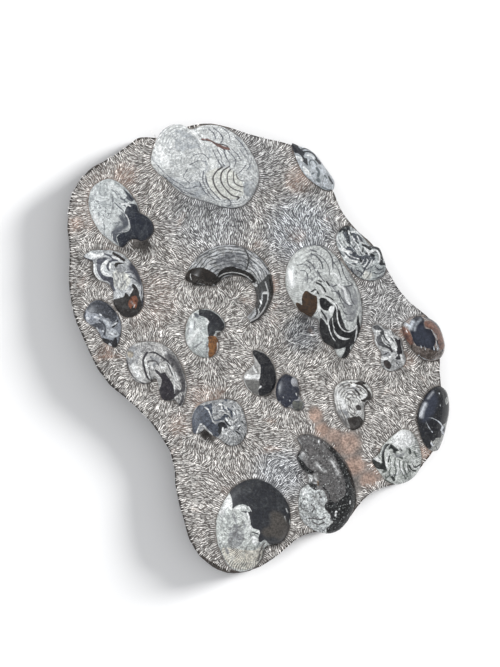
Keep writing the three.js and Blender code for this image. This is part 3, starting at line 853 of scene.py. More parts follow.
sized = strokes_tree.add("ShaderNodeCombineXYZ", {0: named("length"), 1: wide, 2: given["Height"]}).outputs[0]
laid = strokes_tree.add("GeometryNodeInstanceOnPoints", {
    "Points": given["Geometry"], "Instance": bowed.outputs[0], "Pick Instance": True,
    "Instance Index": named("bow", "INT"), "Rotation": named("turn", "FLOAT_VECTOR"), "Scale": sized,
}).outputs[0]
solid = strokes_tree.add("GeometryNodeRealizeInstances", {0: laid}).outputs[0]
solid = strokes_tree.add("GeometryNodeSetShadeSmooth", {0: solid}).outputs[0]
finished = {"Geometry": solid, "Material": given["Finish"]}
solid = strokes_tree.add("GeometryNodeSetMaterial", finished).outputs[0]
strokes_tree.fill(made["Geometry"], solid)
print(f"{len(BOW)} lenses to pick from")

# %% Laying the strokes
REST = 0.15 * MM  # how far a stroke's middle line stands above the ground
SLOPE_RUN = 2.5 * MM  # the ground's slope is read this far ahead and behind


def settle(piece, tree, values):
    """Runs a geometry tree on a piece once, and leaves its result as the piece's plain mesh."""
    modifier = piece.modifiers.new("make", "NODES")
    modifier.node_group = tree
    for item in tree.interface.items_tree:
        if item.name in values:
            modifier[item.identifier] = values[item.name]
    seen = piece.evaluated_get(bpy.context.evaluated_depsgraph_get())
    mesh = bpy.data.meshes.new_from_object(seen)
    piece.modifiers.clear()
    piece.data = mesh
    mesh.name = piece.name


def loose_points(name, points, numbers):
    """A piece that is only points, with named numbers or vectors on each."""
    mesh = bpy.data.meshes.new(name)
    mesh.from_pydata(points.tolist(), [], [])
    for key, values in numbers.items():
        write(mesh, key, values)
    piece = bpy.data.objects.new(name, mesh)
    bpy.context.scene.collection.objects.link(piece)
    return piece


run = SLOPE_RUN * np.stack([np.cos(stroke_turn), np.sin(stroke_turn)], -1)
climb = (from_grid(ground, stroke_at + run) - from_grid(ground, stroke_at - run)) / (2 * SLOPE_RUN)
numbers = {
    "length": stroke_length,
    "turn": np.stack([np.zeros(len(climb)), -np.arctan(climb), stroke_turn], -1),
    "rusty": patches(stroke_at, RUSTY),
    "cool": patches(stroke_at, COOL),
    # the strokes take the same painted shade as the ground
    "shaded": patches(stroke_at, PAINTED_SHADE_PATCHES),
    "tone": rng.uniform(-0.5, 0.5, len(kept)),
    "breadth": rng.uniform(0.6, 1.25, len(kept)),
    "bow": rng.integers(0, len(BOW), len(kept)),
}
feet = np.c_[stroke_at, from_grid(ground, stroke_at) + REST]
for side, here in (("left", stroke_at[:, 0] < 0), ("right", stroke_at[:, 0] >= 0)):
    strokes = loose_points("chisel_strokes_" + side, feet[here], {key: v[here] for key, v in numbers.items()})
    sizes = {"Width": STROKE_WIDTH, "Height": STROKE_HEIGHT}
    settle(strokes, strokes_tree.tree, {**sizes, "Finish": bruise_finish})
    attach(strokes, "root")
    print(f"{side}: {here.sum()} strokes, {len(strokes.data.polygons)} faces")

# %% [markdown]
# ## Drawing on the shells
# Sawn and polished, an ammonite shows its inside: white calcite in the chambers, black stone where mud got
# in, and the thin wavy seams between chambers. Each of these is drawn as a closed region or a line on the
# plan. `inside` turns a drawing into one number per point of a shell: how deep the point lies in it. The
# finish turns that number into a crisp edge that wavers a little. Two layers are painted light and have no
# border: one paints soft shade and sheen, the last paints highlights. Both fade over several millimetres,
# so a line of width 0 is half strength along its middle, and a width below 0 leaves only a faint breath.
# A few milk lines on the black shells are painted highlights too.

# %% A small drawing kit
# the last two layers are painted light: soft shade with sheen, then highlights
LAYERS = ["chalk", "ash", "slate", "dark", "rust", "milk", "gloom", "glow"]  # each covers the ones before
OUTSIDE_ALL = -30 * MM


def drawings(text):
    """Reads drawings from words: a layer, then the shapes in it, each with its points as x,y.

    A number and points: a smooth open line that wide, in plan units. The word region and points: a closed
    shape with a smooth outline; outside: everything but that shape; rays, a count, a share, a centre and
    points: spokes round the centre, cut to a closed shape.
    """
    layers = {}
    for word in text.split():
        if word in LAYERS:
            found = layers.setdefault(word, [])
        elif word.isalpha():
            found.append((word, [], []))
        elif "," in word:
            found[-1][2].append([float(v) for v in word.split(",")])
        elif found and found[-1][0] != "line" and not found[-1][2]:
            found[-1][1].append(float(word))
        else:
            found.append(("line", [float(word)], []))
    return layers


def palette(text):
    """Colours and numbers from words: a title, then red,green,blue or one number."""
    words = text.split()
    return {title: paint(*map(float, value.split(","))) if "," in value else float(value)
            for title, value in zip(words[::2], words[1::2])}


def distance_to_open(points, curve):
    """How far each point is from an open line."""
    nearest = np.full(len(points), np.inf)
    for a, s in zip(curve[:-1], np.diff(curve, axis=0)):
        along = np.clip(((points - a) @ s) / max(s @ s, TINY), 0, 1)
        nearest = np.minimum(nearest, np.hypot(*(points - a - along[:, None] * s).T))
    return nearest


def spokes(points, centre, count, share):
    """How deep each point lies in wandering spokes round a centre."""
    away = (points - on_plan(centre)) / PLAN_STEP
    radius, angle = np.hypot(*away.T), np.arctan2(away[:, 1], away[:, 0])
    t = angle * count / (2 * math.pi) + 0.3 * np.sin(radius / 14 * 2 * math.pi)
    return (share / 2 - np.abs(t - np.round(t))) * radius * PLAN_STEP * 2 * math.pi / count


def inside(points, drawn):
    """How deep each point lies in the nearest of the drawings, in metres; negative outside them all."""
    deepest = np.full(len(points), OUTSIDE_ALL)
    for kind, numbers, places in drawn:
        if kind == "line":
            depth = numbers[0] * PLAN_STEP / 2 - distance_to_open(points, open_curve(on_plan(places)))
        else:
            shape = places[1:] if kind == "rays" else places
            depth, _ = nearest_on(points, closed_curve(on_plan(shape), 8 * len(shape)))
            if kind == "rays":
                depth = np.minimum(depth, spokes(points, places[0], *numbers))
            elif kind == "outside":
                depth = -depth
        deepest = np.maximum(deepest, depth)
    return deepest


MARKINGS = {}
print("a drawing:", drawings("slate 2 0,0 3,1"))

# %% [markdown]
# ## Pale shells
# Four shells are nearly all white calcite. What draws them is thin: the seams between chambers, which on the
# largest shell swing out from the eye as bold "(" shaped arcs, and broken dark rings where mud crept along a
# chamber wall.

# %% Drawings of the pale shells
MARKINGS["ammonite_top_large"] = """
light 229,232,231 grey 190,193,192 slate 94,97,106 dark 80,76,78 rust 128,96,88 ash 168,173,177
squiggles 0.7 veins 0.4 ribs 0.5 hoops 20 spokes 90 speckle 0.38""", """
chalk
region 206,176 214,170 224,169 234,172 240,180 245,192 238,199 226,200 214,196 208,186
glow
4 160,148 163,158 169,166
0 244,172 250,180 250,186
0 172,145 178,158
-1 200,160 206,168
milk
2.6 190,130 196,135 203,145
2.2 205,139 198,131 203,126
ash
region 165,178 176,179 188,184 200,183 206,196 196,198 182,190 170,186
region 175,131 181,130.5 189,134 196,139 201,145 199,148.5 190,150 180,152 175,146 177,138
2.2 205,160 207,168 204,174
1.6 208,148 210,152 210,158
region 244,184 252,182 256,190 250,197 244,194
2 236,134 241,142 244,150
slate
1 224,201 229,200 231,205 226,208
0.9 204,172 203,180 206,188 211,196 217,202
0.8 191,160 195,156 203,155 209,160
0.8 157,165 170,178 184,187
0.8 163,176 178,188 196,196
0.8 188,170 184,178 190,184
0.8 240,150 247,160 251,170
0.8 234,136 243,146 249,156
0.8 190,166 198,162 206,163
0.9 182,188 190,189 198,187 205,190
0.9 176,186 184,193 192,195
0.9 236,176 241,172 246,166
0.8 246,172 250,166 252,158
1.1 206,177 207,183 210,189 215,195 220,200
1 200,183 203,190 209,197
1 209,130 214,134 216,140
1.1 213,128 219,133 223,139 221,144
1 222,128 228,133 230,139
0.9 217,150 221,157 222,163 225,167
0.9 213,151 216,157 219,163 222,168
0.9 224,151 226,158 230,165 229,168
0.9 228,151 233,157 236,162 234,168
0.8 232,150 238,156 241,162
1.4 219,124 226,128 232,131
dark
1.5 223,168 217,172 213.5,178 214,184 217,190 222,196 229,200
1.4 229.5,167.5 223,172 221,178 222,184 226,190 232,196 239,198 237,200.5
1.2 231,170 228,174 227.5,180 229,186 234,190 241,192.5
1.1 234,172 233.5,178 235,184 240,187 245,188
1 237,173 237,178 240,181 244,182
1.3 203,141 210,141.5 215,144 219,147 225,151
1.2 219,145 225,146 229,149
region 211,209 217,206 221,207.5 225,210
rust
1.8 200,140.5 206,140 213,143 218,147
2.6 217,145 222,148 229,150"""
MARKINGS["ammonite_top_right"] = """
light 212,218,224 grey 168,174,178 slate 102,110,114 dark 18,21,30 curl 60""", """
milk
region 303,166 308,170 311,176 306,175 303,170
1.6 307,155 311,155 314,158
2.5 296,157 300,158 302,160
slate
1.6 310,165 309.5,161.5 312,159.5 315,161 317,164
2.6 317,168 319,172 318,176
region 316,180 319,178 321,181 319,183
1.8 325,175 327,178
1.6 314,173 312,174
1.2 322,187 327,189 331,190
dark
region 291,142 297,144 300,148 303,150.5 305,153 303.5,157 307,158 307.5,162 308.5,165.5 306,164.5
302.5,161 302,157 298,153.5 295,153 291.5,149
1.5 300,149.5 305,148 311,148.5
1.7 303,152 307,150.8 311,151.5 314.5,154 317,158
2.8 316.5,159 318.5,160.5 320,162.5
1.8 329,176 331,180 333,183"""
MARKINGS["ammonite_lower_left"] = """
light 216,216,214 grey 152,151,150 slate 82,81,84 dark 40,36,44 rust 162,154,138 squiggles 0.7
mottle 90 speckle 0.5""", """
milk
1.6 149,364 148.8,366
1.4 148,370 148.8,372
1.2 149,375 150.5,379
2 162,367 165,367
2 145.5,360 146,364 147.5,368 149,370
1 148,374 150,378.5
1 151,375 152.5,378
2 166,352 168,357
1.8 152,365 153,368
0.9 174.2,380 174.6,386 174.8,393
1 165,361 170,365 173,372 175,379
1.2 176,372 178,380
glow
5 134,367 140,378
-1 146,379 142,370
gloom
region 168,352 176,358 182,368 184,378 178,376 173,366 166,358
ash
region 124,346 134,345 141,350 138,362 131,366 126,358
4 152,357 158,360 154,364
slate
1.5 149.5,353 153,352 158,354 162,357 167,360 170,364
1.3 164,360 168,364 170,369 173,375
1.4 148.5,361 149,367 150,373 152,378
1.5 149,361 156,361 159,365
2.5 172,366 175,362
1.4 180,368 182,375 185,381
region 180,380 183,379 185.5,384 184.5,391 180,392 182,386
1.2 127,360 129,369 133,376 139,381 145,384
2.6 183,396 182,401 179,406
region 175,390 180,390 178,395 174,396
dark
2.2 147.5,352.5 144.6,357 143.6,362 144.6,367 146,373 148,377.5 151.5,380
1.1 151,352.5 157,353.5 163,357 169,362.5
region 155,369.5 158,370 161,373 165,372 167,375 170,379 173,384 174.5,390 176,395 173,399 168,400.5
162,399.5 160,396 159,390 161,386 162,380 160,376 157,373
rust
region 128,352 131,351 134,353 133,357 130,358 128,356"""
MARKINGS["ammonite_lower_right_pale"] = """
light 226,227,224 grey 188,188,186 slate 100,97,94 dark 48,44,42 squiggles 0.5 ribs 0.1 rings 1
hoops 9 lean 0.3 speckle 0.42""", """
glow
4 337,397 342,402 344,407
-1 343,388 350,391
gloom
2 338,414 344,422 352,427
milk
2.6 356.5,412 359.5,411.5
2 351,385.5 355,385
3 362,398 365,395
ash
region 338,410 346,410 349,416 346,420 348,426 344,426 339,419
1.4 350,388 354,387.5 358,390
1.2 362,402 364,406 366,411
slate
1.2 352,391 355,394 356,397
0.9 338,392 344,386 350,384
0.9 340,395 346,389.5 352,388
1.4 356,386 359,388 361,391
1.2 347,393 351,394.5 353,396.5
2 347,398 348.5,399
1.3 350,400 351,403
1.8 350.5,382.5 351.5,383
2 344,389 346,389
1.6 342.5,385 343.5,387
1.8 348.5,384 349,386
1.1 334,407 336,416 341,425 349,430
1 348,405 351,408 354,409
1 347,411 351,414 354,416
1.6 346,407 345.5,409
0.8 352,400 354,403
1 354.5,410 354,414
1 341,410 344,416 346,422
dark
region 353.5,383 357,382 361,381 364.5,382 366,384 363,384.5 366,387 368,390 370.5,393 371,397
370,399.5 366,400 364,402 360,400.5 362,399 366,397 367.5,394 366,390.5 363,387.5 360.5,385.5
357,384.5
1.9 355,390 357.5,392 359,394.5
region 355.5,405.5 358,404.5 360.5,406 361,409 358,410 356,408.5
region 347.5,417.5 351,417 356,416 359,416 362,419 363.5,423 361,427 356,429.5 352,430 350,428
349,424 347,420"""
print(len(MARKINGS), "shells drawn so far")

# %% [markdown]
# ## Banded shells
# Here chambers of white calcite lie beside chambers of dark mud, so each shell shows a few big shapes: a
# lobe, a hook, an S. Brown shapes are mud stained by iron. Comb-like strokes are the folded seams cut at a
# slant.

# %% Drawings of the banded shells
MARKINGS["ammonite_upper_left"] = """
light 216,221,221 grey 172,178,179 slate 86,90,98 dark 31,36,48 squiggles 1 curl 42 veins 0.7
ribs 0.15 rings 0.15 ash 120,124,128 speckle 0.3""", """
glow
4 95,217 100,224
0 108,184 118,188
gloom
region 120,217 124,216 129,223 127,229 121,232 112,233 116,227 122,225
-1 94,196 100,184
milk
1.1 126,215 128.5,219 129.8,224 129.5,227 127,229.5 123,230.6
0.5 116,233.5 121,232.5 128,231.5
0.5 112.5,234 113,239
1.6 122,205 126,204.5 131,206.5
1.4 127,207 129,203
ash
1.6 101,188 100,193 102,196
1.5 107,184 108,190 106,193
1.4 112,190 116,193 119,198
1.4 116,191 120,195 122,200
2.4 112,196 114,204 113,211
1.2 104,223 105,229 104,234
2 114,224 119,223.5
3 121,217 123,221
slate
region 124,213 127,217 129,221 128.5,225 126.5,227 125.3,225 126,220
region 112,232 117,230.6 123,231 128,230.8 122,233.5 117.5,236 117,240 118.6,245 114,241 112,237
region 123.5,189.5 128,192.5 131.5,196 134.5,199.5 132,202 128.5,200.5 126.5,198.5 127.5,196
1.2 121,199 125,201 129,204.5
1 120,204 125,206 128,209
1 115,203 120,208 124,211
1 107,179 99,181 93,185 90,190 88.7,197
dark
region 127.5,207.5 130.7,204.4 134,204.4 137,206 139.2,212 145.6,216 151.2,221 155,227 154,234
148,240 141,242 136.8,240 132,240 128,242 126,246 121,249 118.6,243 117.5,237 122.5,233.4 129,231.2
130.9,226.8 129.4,222 126.6,218 125.3,212.5
1.2 127,193 130,197 133,201"""
# the dark region from 91,261 to 104,283 is painted shade on the shell's shaded side at the left
MARKINGS["ammonite_left_crescent"] = """
light 214,218,220 grey 160,163,165 slate 74,76,86 dark 40,36,34 rust 138,88,66 squiggles 0.8
ribs 0.4 speckle 0.45""", """
milk
3.4 107,262 103,267 104,273 110,275.5
3 90,254 97,256 103,254
2 111,264 110.5,269
2 127,290 130,293 133,289
2 94.5,265 95,273 99,279 104,282
2.2 113,257 118,259 121,261.5
1.6 126,262 131,267 134,272
0.8 134,308 135.5,304
0.9 118,253 125,256 133,263 140,274 143,287 142.5,298
1 131,283 136,285 139,290
chalk
region 114,272 122,271 129,275 131,283 125,290 117,289 113,281
ash
1.6 116,274 119,279 117,285 120,290
1.4 124,273 123,279 126,284 124,290
1.2 109,266 114,265 115,270
region 116,268 120,265 126,266 126,271 123,274 118,271
1.2 113,274 115.5,280 118.5,287
1.1 118,272 121,278 120.5,286
1.1 123,276 122.5,281 121.5,287
1.1 127,280 124,284 121.5,288
0.9 113.5,289 119,289.6 124,293
glow
1 92,257 102,256.5
-2 132,302 134,305
gloom
region 132,262 139,270 142,282 139,285 134,276 128,268
slate
1.1 83.5,255 84.5,258.5 88,260 92,260.5 95,260
1 83.5,254.5 87,252.5 91,253
region 98,259 103,257.5 108,259 105,261.5 102,265 101,270 103,274 108,276.5 113,277.5 114,281
114.5,287 116,290.5 112,291.5 110,288 110.5,284 108,281.5 104,280.5 100,276 97.5,271 97,265
2.2 118,260.5 112,261 109,264 108,268 109.5,270
1.6 105,254 110,256 113,259
1.4 83,254 85,258 92,260
1 126,273 131,272.5 134,274
1.2 129,277 133,278 137,281
1 138,276 141,284 143,292
3 142.5,292 143.5,299 142,305
dark
region 133,284 137,286 139,290 140,296 141.5,301 142,307 139,313 133,318 127,320 120,317 116,311
113.5,306 113.5,300 118,298.5 124,297 125.5,293 128,294 130,296.5 132,291
2.6 114,253.5 119,256.5 124.5,260.5
region 115,265.5 116,263 120,262.7 125,264 119,265 116.5,268.5
region 91,261 93.5,262 93.5,272 94.5,277 98,280.5 104,283 103,286 96,285 91,280 89,270
rust
region 130,300 132,297 136,296 138.5,300 137.5,304 136,309 133,306 131,309 128.5,304"""
# the milk line at 87,318 is a painted highlight
MARKINGS["ammonite_left_small"] = """
light 160,166,176 grey 108,113,124 chalk 190,195,200 milk 222,226,230 slate 64,67,74 dark 28,26,28
squiggles 0.9 speckle 0.5 flecks 0.6""", """
milk
2 95,317 99,318.5
1.8 100,314.5 101.5,315.5
2.2 87,318 89,319
1.6 113,325 117,323
1.8 108,330 114,335
3 110,344.5 110.5,346
1.4 102.5,330.5 104,331.5
1.6 97,328 98.5,331
chalk
region 102,319 107,320 110,323 114,324.5 117,322 118,324 116,327 113,328 117,331 119,335 116,337.5
111,338 107,336 105.5,332 106.5,328 106.5,324
ash
region 108,316 111,315 113.5,317 112,320 109,319
1.4 108,334 112,335 116,334
slate
region 89,305 96,301 101,300 106,302 110,306 114,310 117,315 117,319 113.5,322.5 111,321 109,318
106,318.5 103,316 99,315 96,313.5 91,313 87,311
2 100,320.5 103,323 105,326 105.5,330 104.5,335
region 99,323 103,325 104,330 99,329 92,325
2.6 85,313 84,317 85,321
dark
1.7 118,320.5 117,324 115,326 113,327
region 99,332 101,337 104,338 108,339 113,340 116,337 117.5,340 118,345 119.5,346.5 116,349.5
113,352 110.5,349 111.5,345.5 108,344.5 104,344.5 100,341.5 98,337"""
MARKINGS["ammonite_right_large"] = """
light 212,216,214 grey 176,179,177 slate 84,86,90 dark 14,15,19 rust 74,54,36 squiggles 0.8
veins 0.25 rings 0.5 hoops 12 ribs 0.3 speckle 0.26""", """
glow
5 289,272 292,284
-1 300,272 297,282
-1 331,245 339,255
-1 331,268 340,282 350,302
milk
region 317,304 319,305 319.5,311 317.5,311
region 329.5,307 333,306 334,309 332,313.5 328,311.5
2 320.5,289 322.5,293
1.4 313,294 316,291
1.1 327,300 332,302.5 335,305.5 336.4,310 336.8,317 338.5,324 341.5,329 346,331.6 351.5,331 356,327
0.9 325,297 330,300.3 335,302.3 337.6,306 338.6,310
0.8 332,318 332.6,325 334,328
region 333,328 335,331.5 339,335.8 345,338 349.5,338.3 345,340 340,339 336,336 334,333
1 327,320 328.3,326 329.5,331
1.5 356.3,326 356.2,333 355,341
0.8 330,332 332,337 335,341
2.2 338,285 344,290 346,299 349,304
1.4 330,274 335,274 338,279
ash
region 320.5,309.5 325,312.5 329,314 331,318.5 327,320.5 322,318
region 341,288 352,286 357,296 357,312 352,322 345,316 342,302
3 329,284 335,289 338,297
slate
1.4 311,254 317,257.5 321,263 322.5,269
1 297,265.5 303,264.5 308,267 310.5,271
1.1 306,261 311,264 314.5,269
0.9 300,271 305,271.5 307.5,277 306.5,284
1 316,254 323,259 328,267 329,275
1.3 321,247 328,252 332,260 332.5,270
1 327,246 334,253 340,263 343,272
1.4 310,250 316,252
1.2 317,271 320,277 324,282
1.2 332,287 338,285 345,287 352,285
1 338,291 341,298 346,304 352,306
1 344,286 349,292 351,300 355,306
1 331,291 337,293 340,300 344,308
1 342,270 346,279 352,284
0.9 333,262 338,270 341,280
0.8 347,262 350,270 354,278
0.8 340,306 345,314 353,314
0.8 343,318 348,321 354,319
dark
region 320,318 324,321 327,325 329.5,319 332,316 333.5,310 335.5,304 339,309 341,317 344,324 346,329
352,331 356,327 356.5,320 358,315 359.5,324 361,332 359,340 354,344 350,346.5 350,353 347,359
344,362 338,363 341,358 344,352 345,347.5 338,349 329,349 323,343 319.5,335 319,326
1.7 316,283 320,285 323,288 325,292
1.4 311,292 315,290 318,294
1.3 318,281 321,282
region 319,299 323,298 327,300 330,303 333,306 330,309 328,311 323,310 320,306
1.5 326,282 329,286
1.2 325,296 330,298 334,302
1.6 321,311 325,317 327,322
rust
region 295.5,304 297,302.5 300,304 302,305 301.5,300 302,296 304,292 306,291 309,292.5 313,295
316.5,297 317,302 316.5,309 314,314 311,317 307,315.5 302,312.5 298,309"""
MARKINGS["ammonite_right_upper"] = """
light 198,204,204 grey 158,164,164 slate 70,74,82 dark 30,32,36 squiggles 0.9 mottle 130
speckle 0.45 flecks 0.9""", """
milk
2.4 366.5,250 369,252 373,251
1.8 374,250.3 377,250.8 379.3,254.5 379.6,260 378,262
1 352,236 354,241 358,245
1 357,236 360,241 364,244
1 344,250 350,256 358,259
1 343,253 349,259 356,263
1 341,256 347,262 354,266
1.2 367.5,260 366,264 363,267
1.2 371.8,260 369.7,264 366.5,268.5
1 363.5,260 361,264
1 374,261 371,266
region 341,246 346,250 351,251 352,253.5 347,253 342,251
1.5 345,257 350,260 357,262
1.6 364,247.5 367,251 369,255
1.4 351,242.5 351.5,244
1.4 348.5,231 349,234
0.8 336,236 339,243 344,249
0.8 341,233 344,240 348,246
0.8 338.5,234.5 341.5,241.5 346,247.5
0.8 334,240 338,248 344,252
1.2 352,243 353,246
1.4 355,248 357,251 358,254
1.2 358,246.5 360,250 362,253.5
1 353.5,238.5 355,240.5
1 358,239 361,243
1.6 352,232 356,231.5 359,234
chalk
region 362,272 367,271 372,274 370,279 363,279
ash
3 350,268 358,274
slate
region 339.5,228 343,226 347,225.5 350,228 350,231 349,233 350,237 350,241 347.5,243.5 346,240
344,236 342.5,232 341,231 339.5,233 338.5,230
region 346,248 350,247 353,250 356,253 359,256 364,255.5 370,254 374,256 375,259 373.5,263 371,261
369,266 366,268 365,264 362,265 360,262 357,260 352,260 347,257 344,253.5
region 352,233 357,234.5 361,237 363,242 360,242 357,240 354,243 352,239
1 345,255 352,259 359,263
1.2 366,266 362,274 356,279
1 371,268 369,275 364,281
2.4 348,242 352,245 355,249
1.6 346,261 350,264 355,264
1.6 351,268 353,273 357,277
1.4 362,267 366,269 372,267
1.2 356,270 360,272 363,275
1.4 375,266 379,270 383,268
1.2 374,273 378,274 384,271
1 336,246 341,254 348,259
0.9 338,243 343,251
1 343,262 350,270 357,278 366,282
1 346,266 352,274 360,279
1 373,279 380,277 386,272
1 364,251 366,255
1 360,252 362,256
dark
region 339,229.5 343,226 348,225.6 350.5,228 349.5,231 346,232 342,231.5 339.5,233
2.6 363,245 367,247 370,249
1.4 347,233 348,238 348.5,243
3.2 369,247.5 374,247 378,248.5 380.5,252.5 381.5,258 381.5,264
2.4 380,264 385,264
1.7 373,252.5 374.5,251 377,252
2.2 366,253.5 370,254 374,256
1.6 356,241 358,243
1.4 363,248 362.5,252
1.6 366,267 367,268
1.5 350,233 352,236
2 360,259 361,262"""
MARKINGS["ammonite_right_middle"] = """
light 212,214,214 grey 164,166,166 slate 76,77,80 dark 40,39,44 rust 66,60,58 squiggles 0.7
speckle 0.5""", """
milk
2.6 385,332 386.5,337 390,341 393.5,345 395.5,350
1 388.5,331.5 391,336 394,340
0.8 381,337 384,343 389,346.5
1.4 396,335.5 397.8,339
region 390.5,353 393.5,354 394.3,357 392,356.5
2 376.5,331.5 380,331
region 381,358 386,357 390,356 390.7,357.5 386,359.7 381,360
1.4 395.2,357.3 397,354.8
2.2 400.5,355 402,360 404,365
2 388,327 390.5,330
2.6 374.5,341 376,345
1.3 382,341 384,343
ash
region 380,352 386,351 390,354 386,356.5 381,356
2 393,360 399,362 403,361
slate
region 373,326.5 377,325 380,327 383,330 383.5,333 381,336 380,333.5 378,330 375,330
region 377,336 380,334.5 382,337 383,340 386,343 390,345 391,348 393,351 391,352 388,349 384,347
380,346 377,343.5 376,339
1.2 385,334 386,339 389,343
1.3 391,338 393,341
dark
region 394.5,338 397,338.5 400,340 400.7,346 402,352 401,356 400,359 396,359.5 395,357 396.5,353
395.3,350 397,347 396,343 394,340
1.4 387,347.5 390,349 391.5,351.5
1.6 379,342 383,343
0.9 383,331 384,337 388,342
0.9 391,330 393,335
1 388,352 384,354.5 380,355
0.9 396,362 399,366
rust
region 383,361 387,360 390,363 391,366 389,369 386,368 384,365"""
MARKINGS["ammonite_middle_round"] = """
light 226,232,230 grey 182,189,188 slate 100,104,110 dark 40,41,46 rust 150,104,62 veins 0.3
squiggles 0.35""", """
glow
2 187,345 193,338 198,330
-1 193,317 199,324
milk
1.6 206,319 208.5,322 207,324
1.3 217.5,343 217.8,348 216.6,353
2 193,315 192.5,318
ash
1.6 195,321 194.5,326 193.3,331
1.8 201,329 203,327 206,326
1.7 193,348 197,346 202,342
region 188,329 192,328 192,333 188,333
2 206.5,344 207,350 206,355
1.2 198,319 201,318.5
1.4 187,321 188,325
slate
region 194,313 198,314 199,317.3 195.5,317
1.2 191,317 193,319
1 207.2,342 207.6,347
dark
region 199.5,309.5 204,309.5 210,310.5 214,312.5 219,316 222,320 224.5,325 223,330 221,331 216,331
215,333.5 213,336.5 209,336.5 208,332 207.5,328 208.2,325 209.3,322 207.5,319 205,317.5 201,316
199,315
rust
region 208,337 212,336 216,336.5 219,341 219,346 217,352 213,356 209,357.5 208.5,353 209,349 208,345
209,341"""
MARKINGS["ammonite_lower_middle"] = """
light 196,198,198 grey 150,153,155 slate 74,80,92 dark 30,32,36 squiggles 1 mottle 110 curl 62
ribs 0.9 speckle 0.65 flecks 0.15""", """
milk
1.2 205,407 208,409 210,413 212,418 213.6,421.8
region 203,424 206,427.3 209,430.7 212,434 208.5,432.2 205.5,429.5
1.2 202.5,423.6 200.5,424 199,427 197,432 196,436
1.8 204,425.5 207.5,430 212,434.5
1 216,407 220,404 225,406 228,411
1 218,412 222,410 226,413
1 232,404 236,409 238,416
1 236,402 240,408 242,415
1 226,434 231,436 236,434
1 230,420 234,421 238,418
1.8 226,418 227,420
1.6 229,422 230.5,424
region 230,427 233,425.5 235,428 232,429
1.4 221,403 222,408
1.6 223,427.5 222.5,430
1.4 222,434 226,433 230,430
1.4 228,403 232,401
1.3 233,411 235,414
1.4 238,426 240,425
ash
2.4 214,404 217,410 216,415
region 215,420 220,420 219,423 216,424
3 222,408 223,412
slate
region 196,409 199,405.5 205,406 207,408 209,412 211,417 213,421 216,424 219,422 222,422 226,424
226,428 223,428 221,432 219,435.5 216,436.5 212,435 209,431 206,427.5 203.5,424.5 201,424 199.5,426
198.5,429 196.5,433 195,437 192,433 191.5,428 190.5,424 192,418 194,413
region 205,405 209,404 212,403 212.5,408 212.5,413 214,419 219,419 222,416 226,414 229,415.5
226,418.5 222,420 215,421 212,418 210,412 208,408
1.4 223,402 223,406 225,410
2.6 225,397 226,400
2 228,408 231,411 232,416
dark
region 218,424 222,421.5 225,423 227.5,427 224,428.5 222,430.5 220,434.5 217.5,432 219,428
1.6 225,420 228,424 231,426
1.5 233,406.5 234.5,407
1.3 242,421 243,423
1.6 238,429 240,426.5
1.6 236,431 240,434
1.8 245,437 248,433
1.2 225,443 229,446
1.2 231,410 234,413
1 224,414 228,415 230,418"""
MARKINGS["ammonite_lower_right_edge"] = """
light 222,226,222 grey 176,181,176 slate 90,96,92 dark 32,36,36 squiggles 0.6 ribs 1 spokes 64
rings 0.5 lean -0.04 speckle 0.45""", """
glow
region 393,436 399,430 407,430 412,437 411,445 402,448 394,444
milk
region 371,455 376,456 379,459 381,462 378,461.5 374,459 371.5,458
2 397,440 400,442
1.8 414,461 416,464
1.4 401,462 401,468 404,474
1.4 397,461 398,467 397,474
2 388,452 387,457 386,463 388,469
1.2 391,462 392,467
1.2 406,464 407,470
1.1 412,460 412,465 415,469 419,467
1.4 409,431 413,437 415,444
1.5 416,450 417,452
1.4 386,443 391,442
ash
1.2 403,432 408,438 410,445
1.1 399,435 403,440 404,446
1.1 392,441 396,446
3 393,455 398,456 403,454
2.2 388,473 394,475 400,473
slate
0.6 398,438.5 400,434.8 404,434.5 406.5,438
0.6 395.5,440.5 397,434 402,431.5 407,433.5 409,439
0.6 393,442 394.5,433 401,429.3 408,431 412,438 411.5,445
0.9 405,460 410,468 411,476
0.8 385,474 386,480 390,484
1.1 381,448 379.5,453 380,459
1.1 390,459 391,466 389,472 391,478
1.1 395,458 394.5,465 396,471 394,478
1.3 399.5,460 399.5,466 402,472 406,479
1.1 404,461 403.5,467 406,473 408,477
1.1 408,461 407.5,467 410,472
2.6 405,446 409,449 410,453
1.8 414,452 417,457
2 399,457 402,458
2.4 383,472 386,470
1.6 386,478 390,475
1.4 376,470 382,478 389,482 395,485
dark
region 389,446 391,443.8 395,447 399,450.5 396,451 395,453.5 392.5,452 393,450 390.5,448.5 388,449.5
2.8 388,443.5 385,446.5 383,451 382.6,456 383,461
1.8 389,456 388,461
1.8 400,448.5 401,450
region 370.5,459 375,459.5 378,461.5 381,463 384,460 385.5,465 386.5,470 381,469 377,468.5 373,465
1.6 411.5,461.5 413,466 416,467.3 420,465
1.6 409,465.5 412,470 415.5,471
2.6 392,477 394,480
1.6 409,449 411,453"""
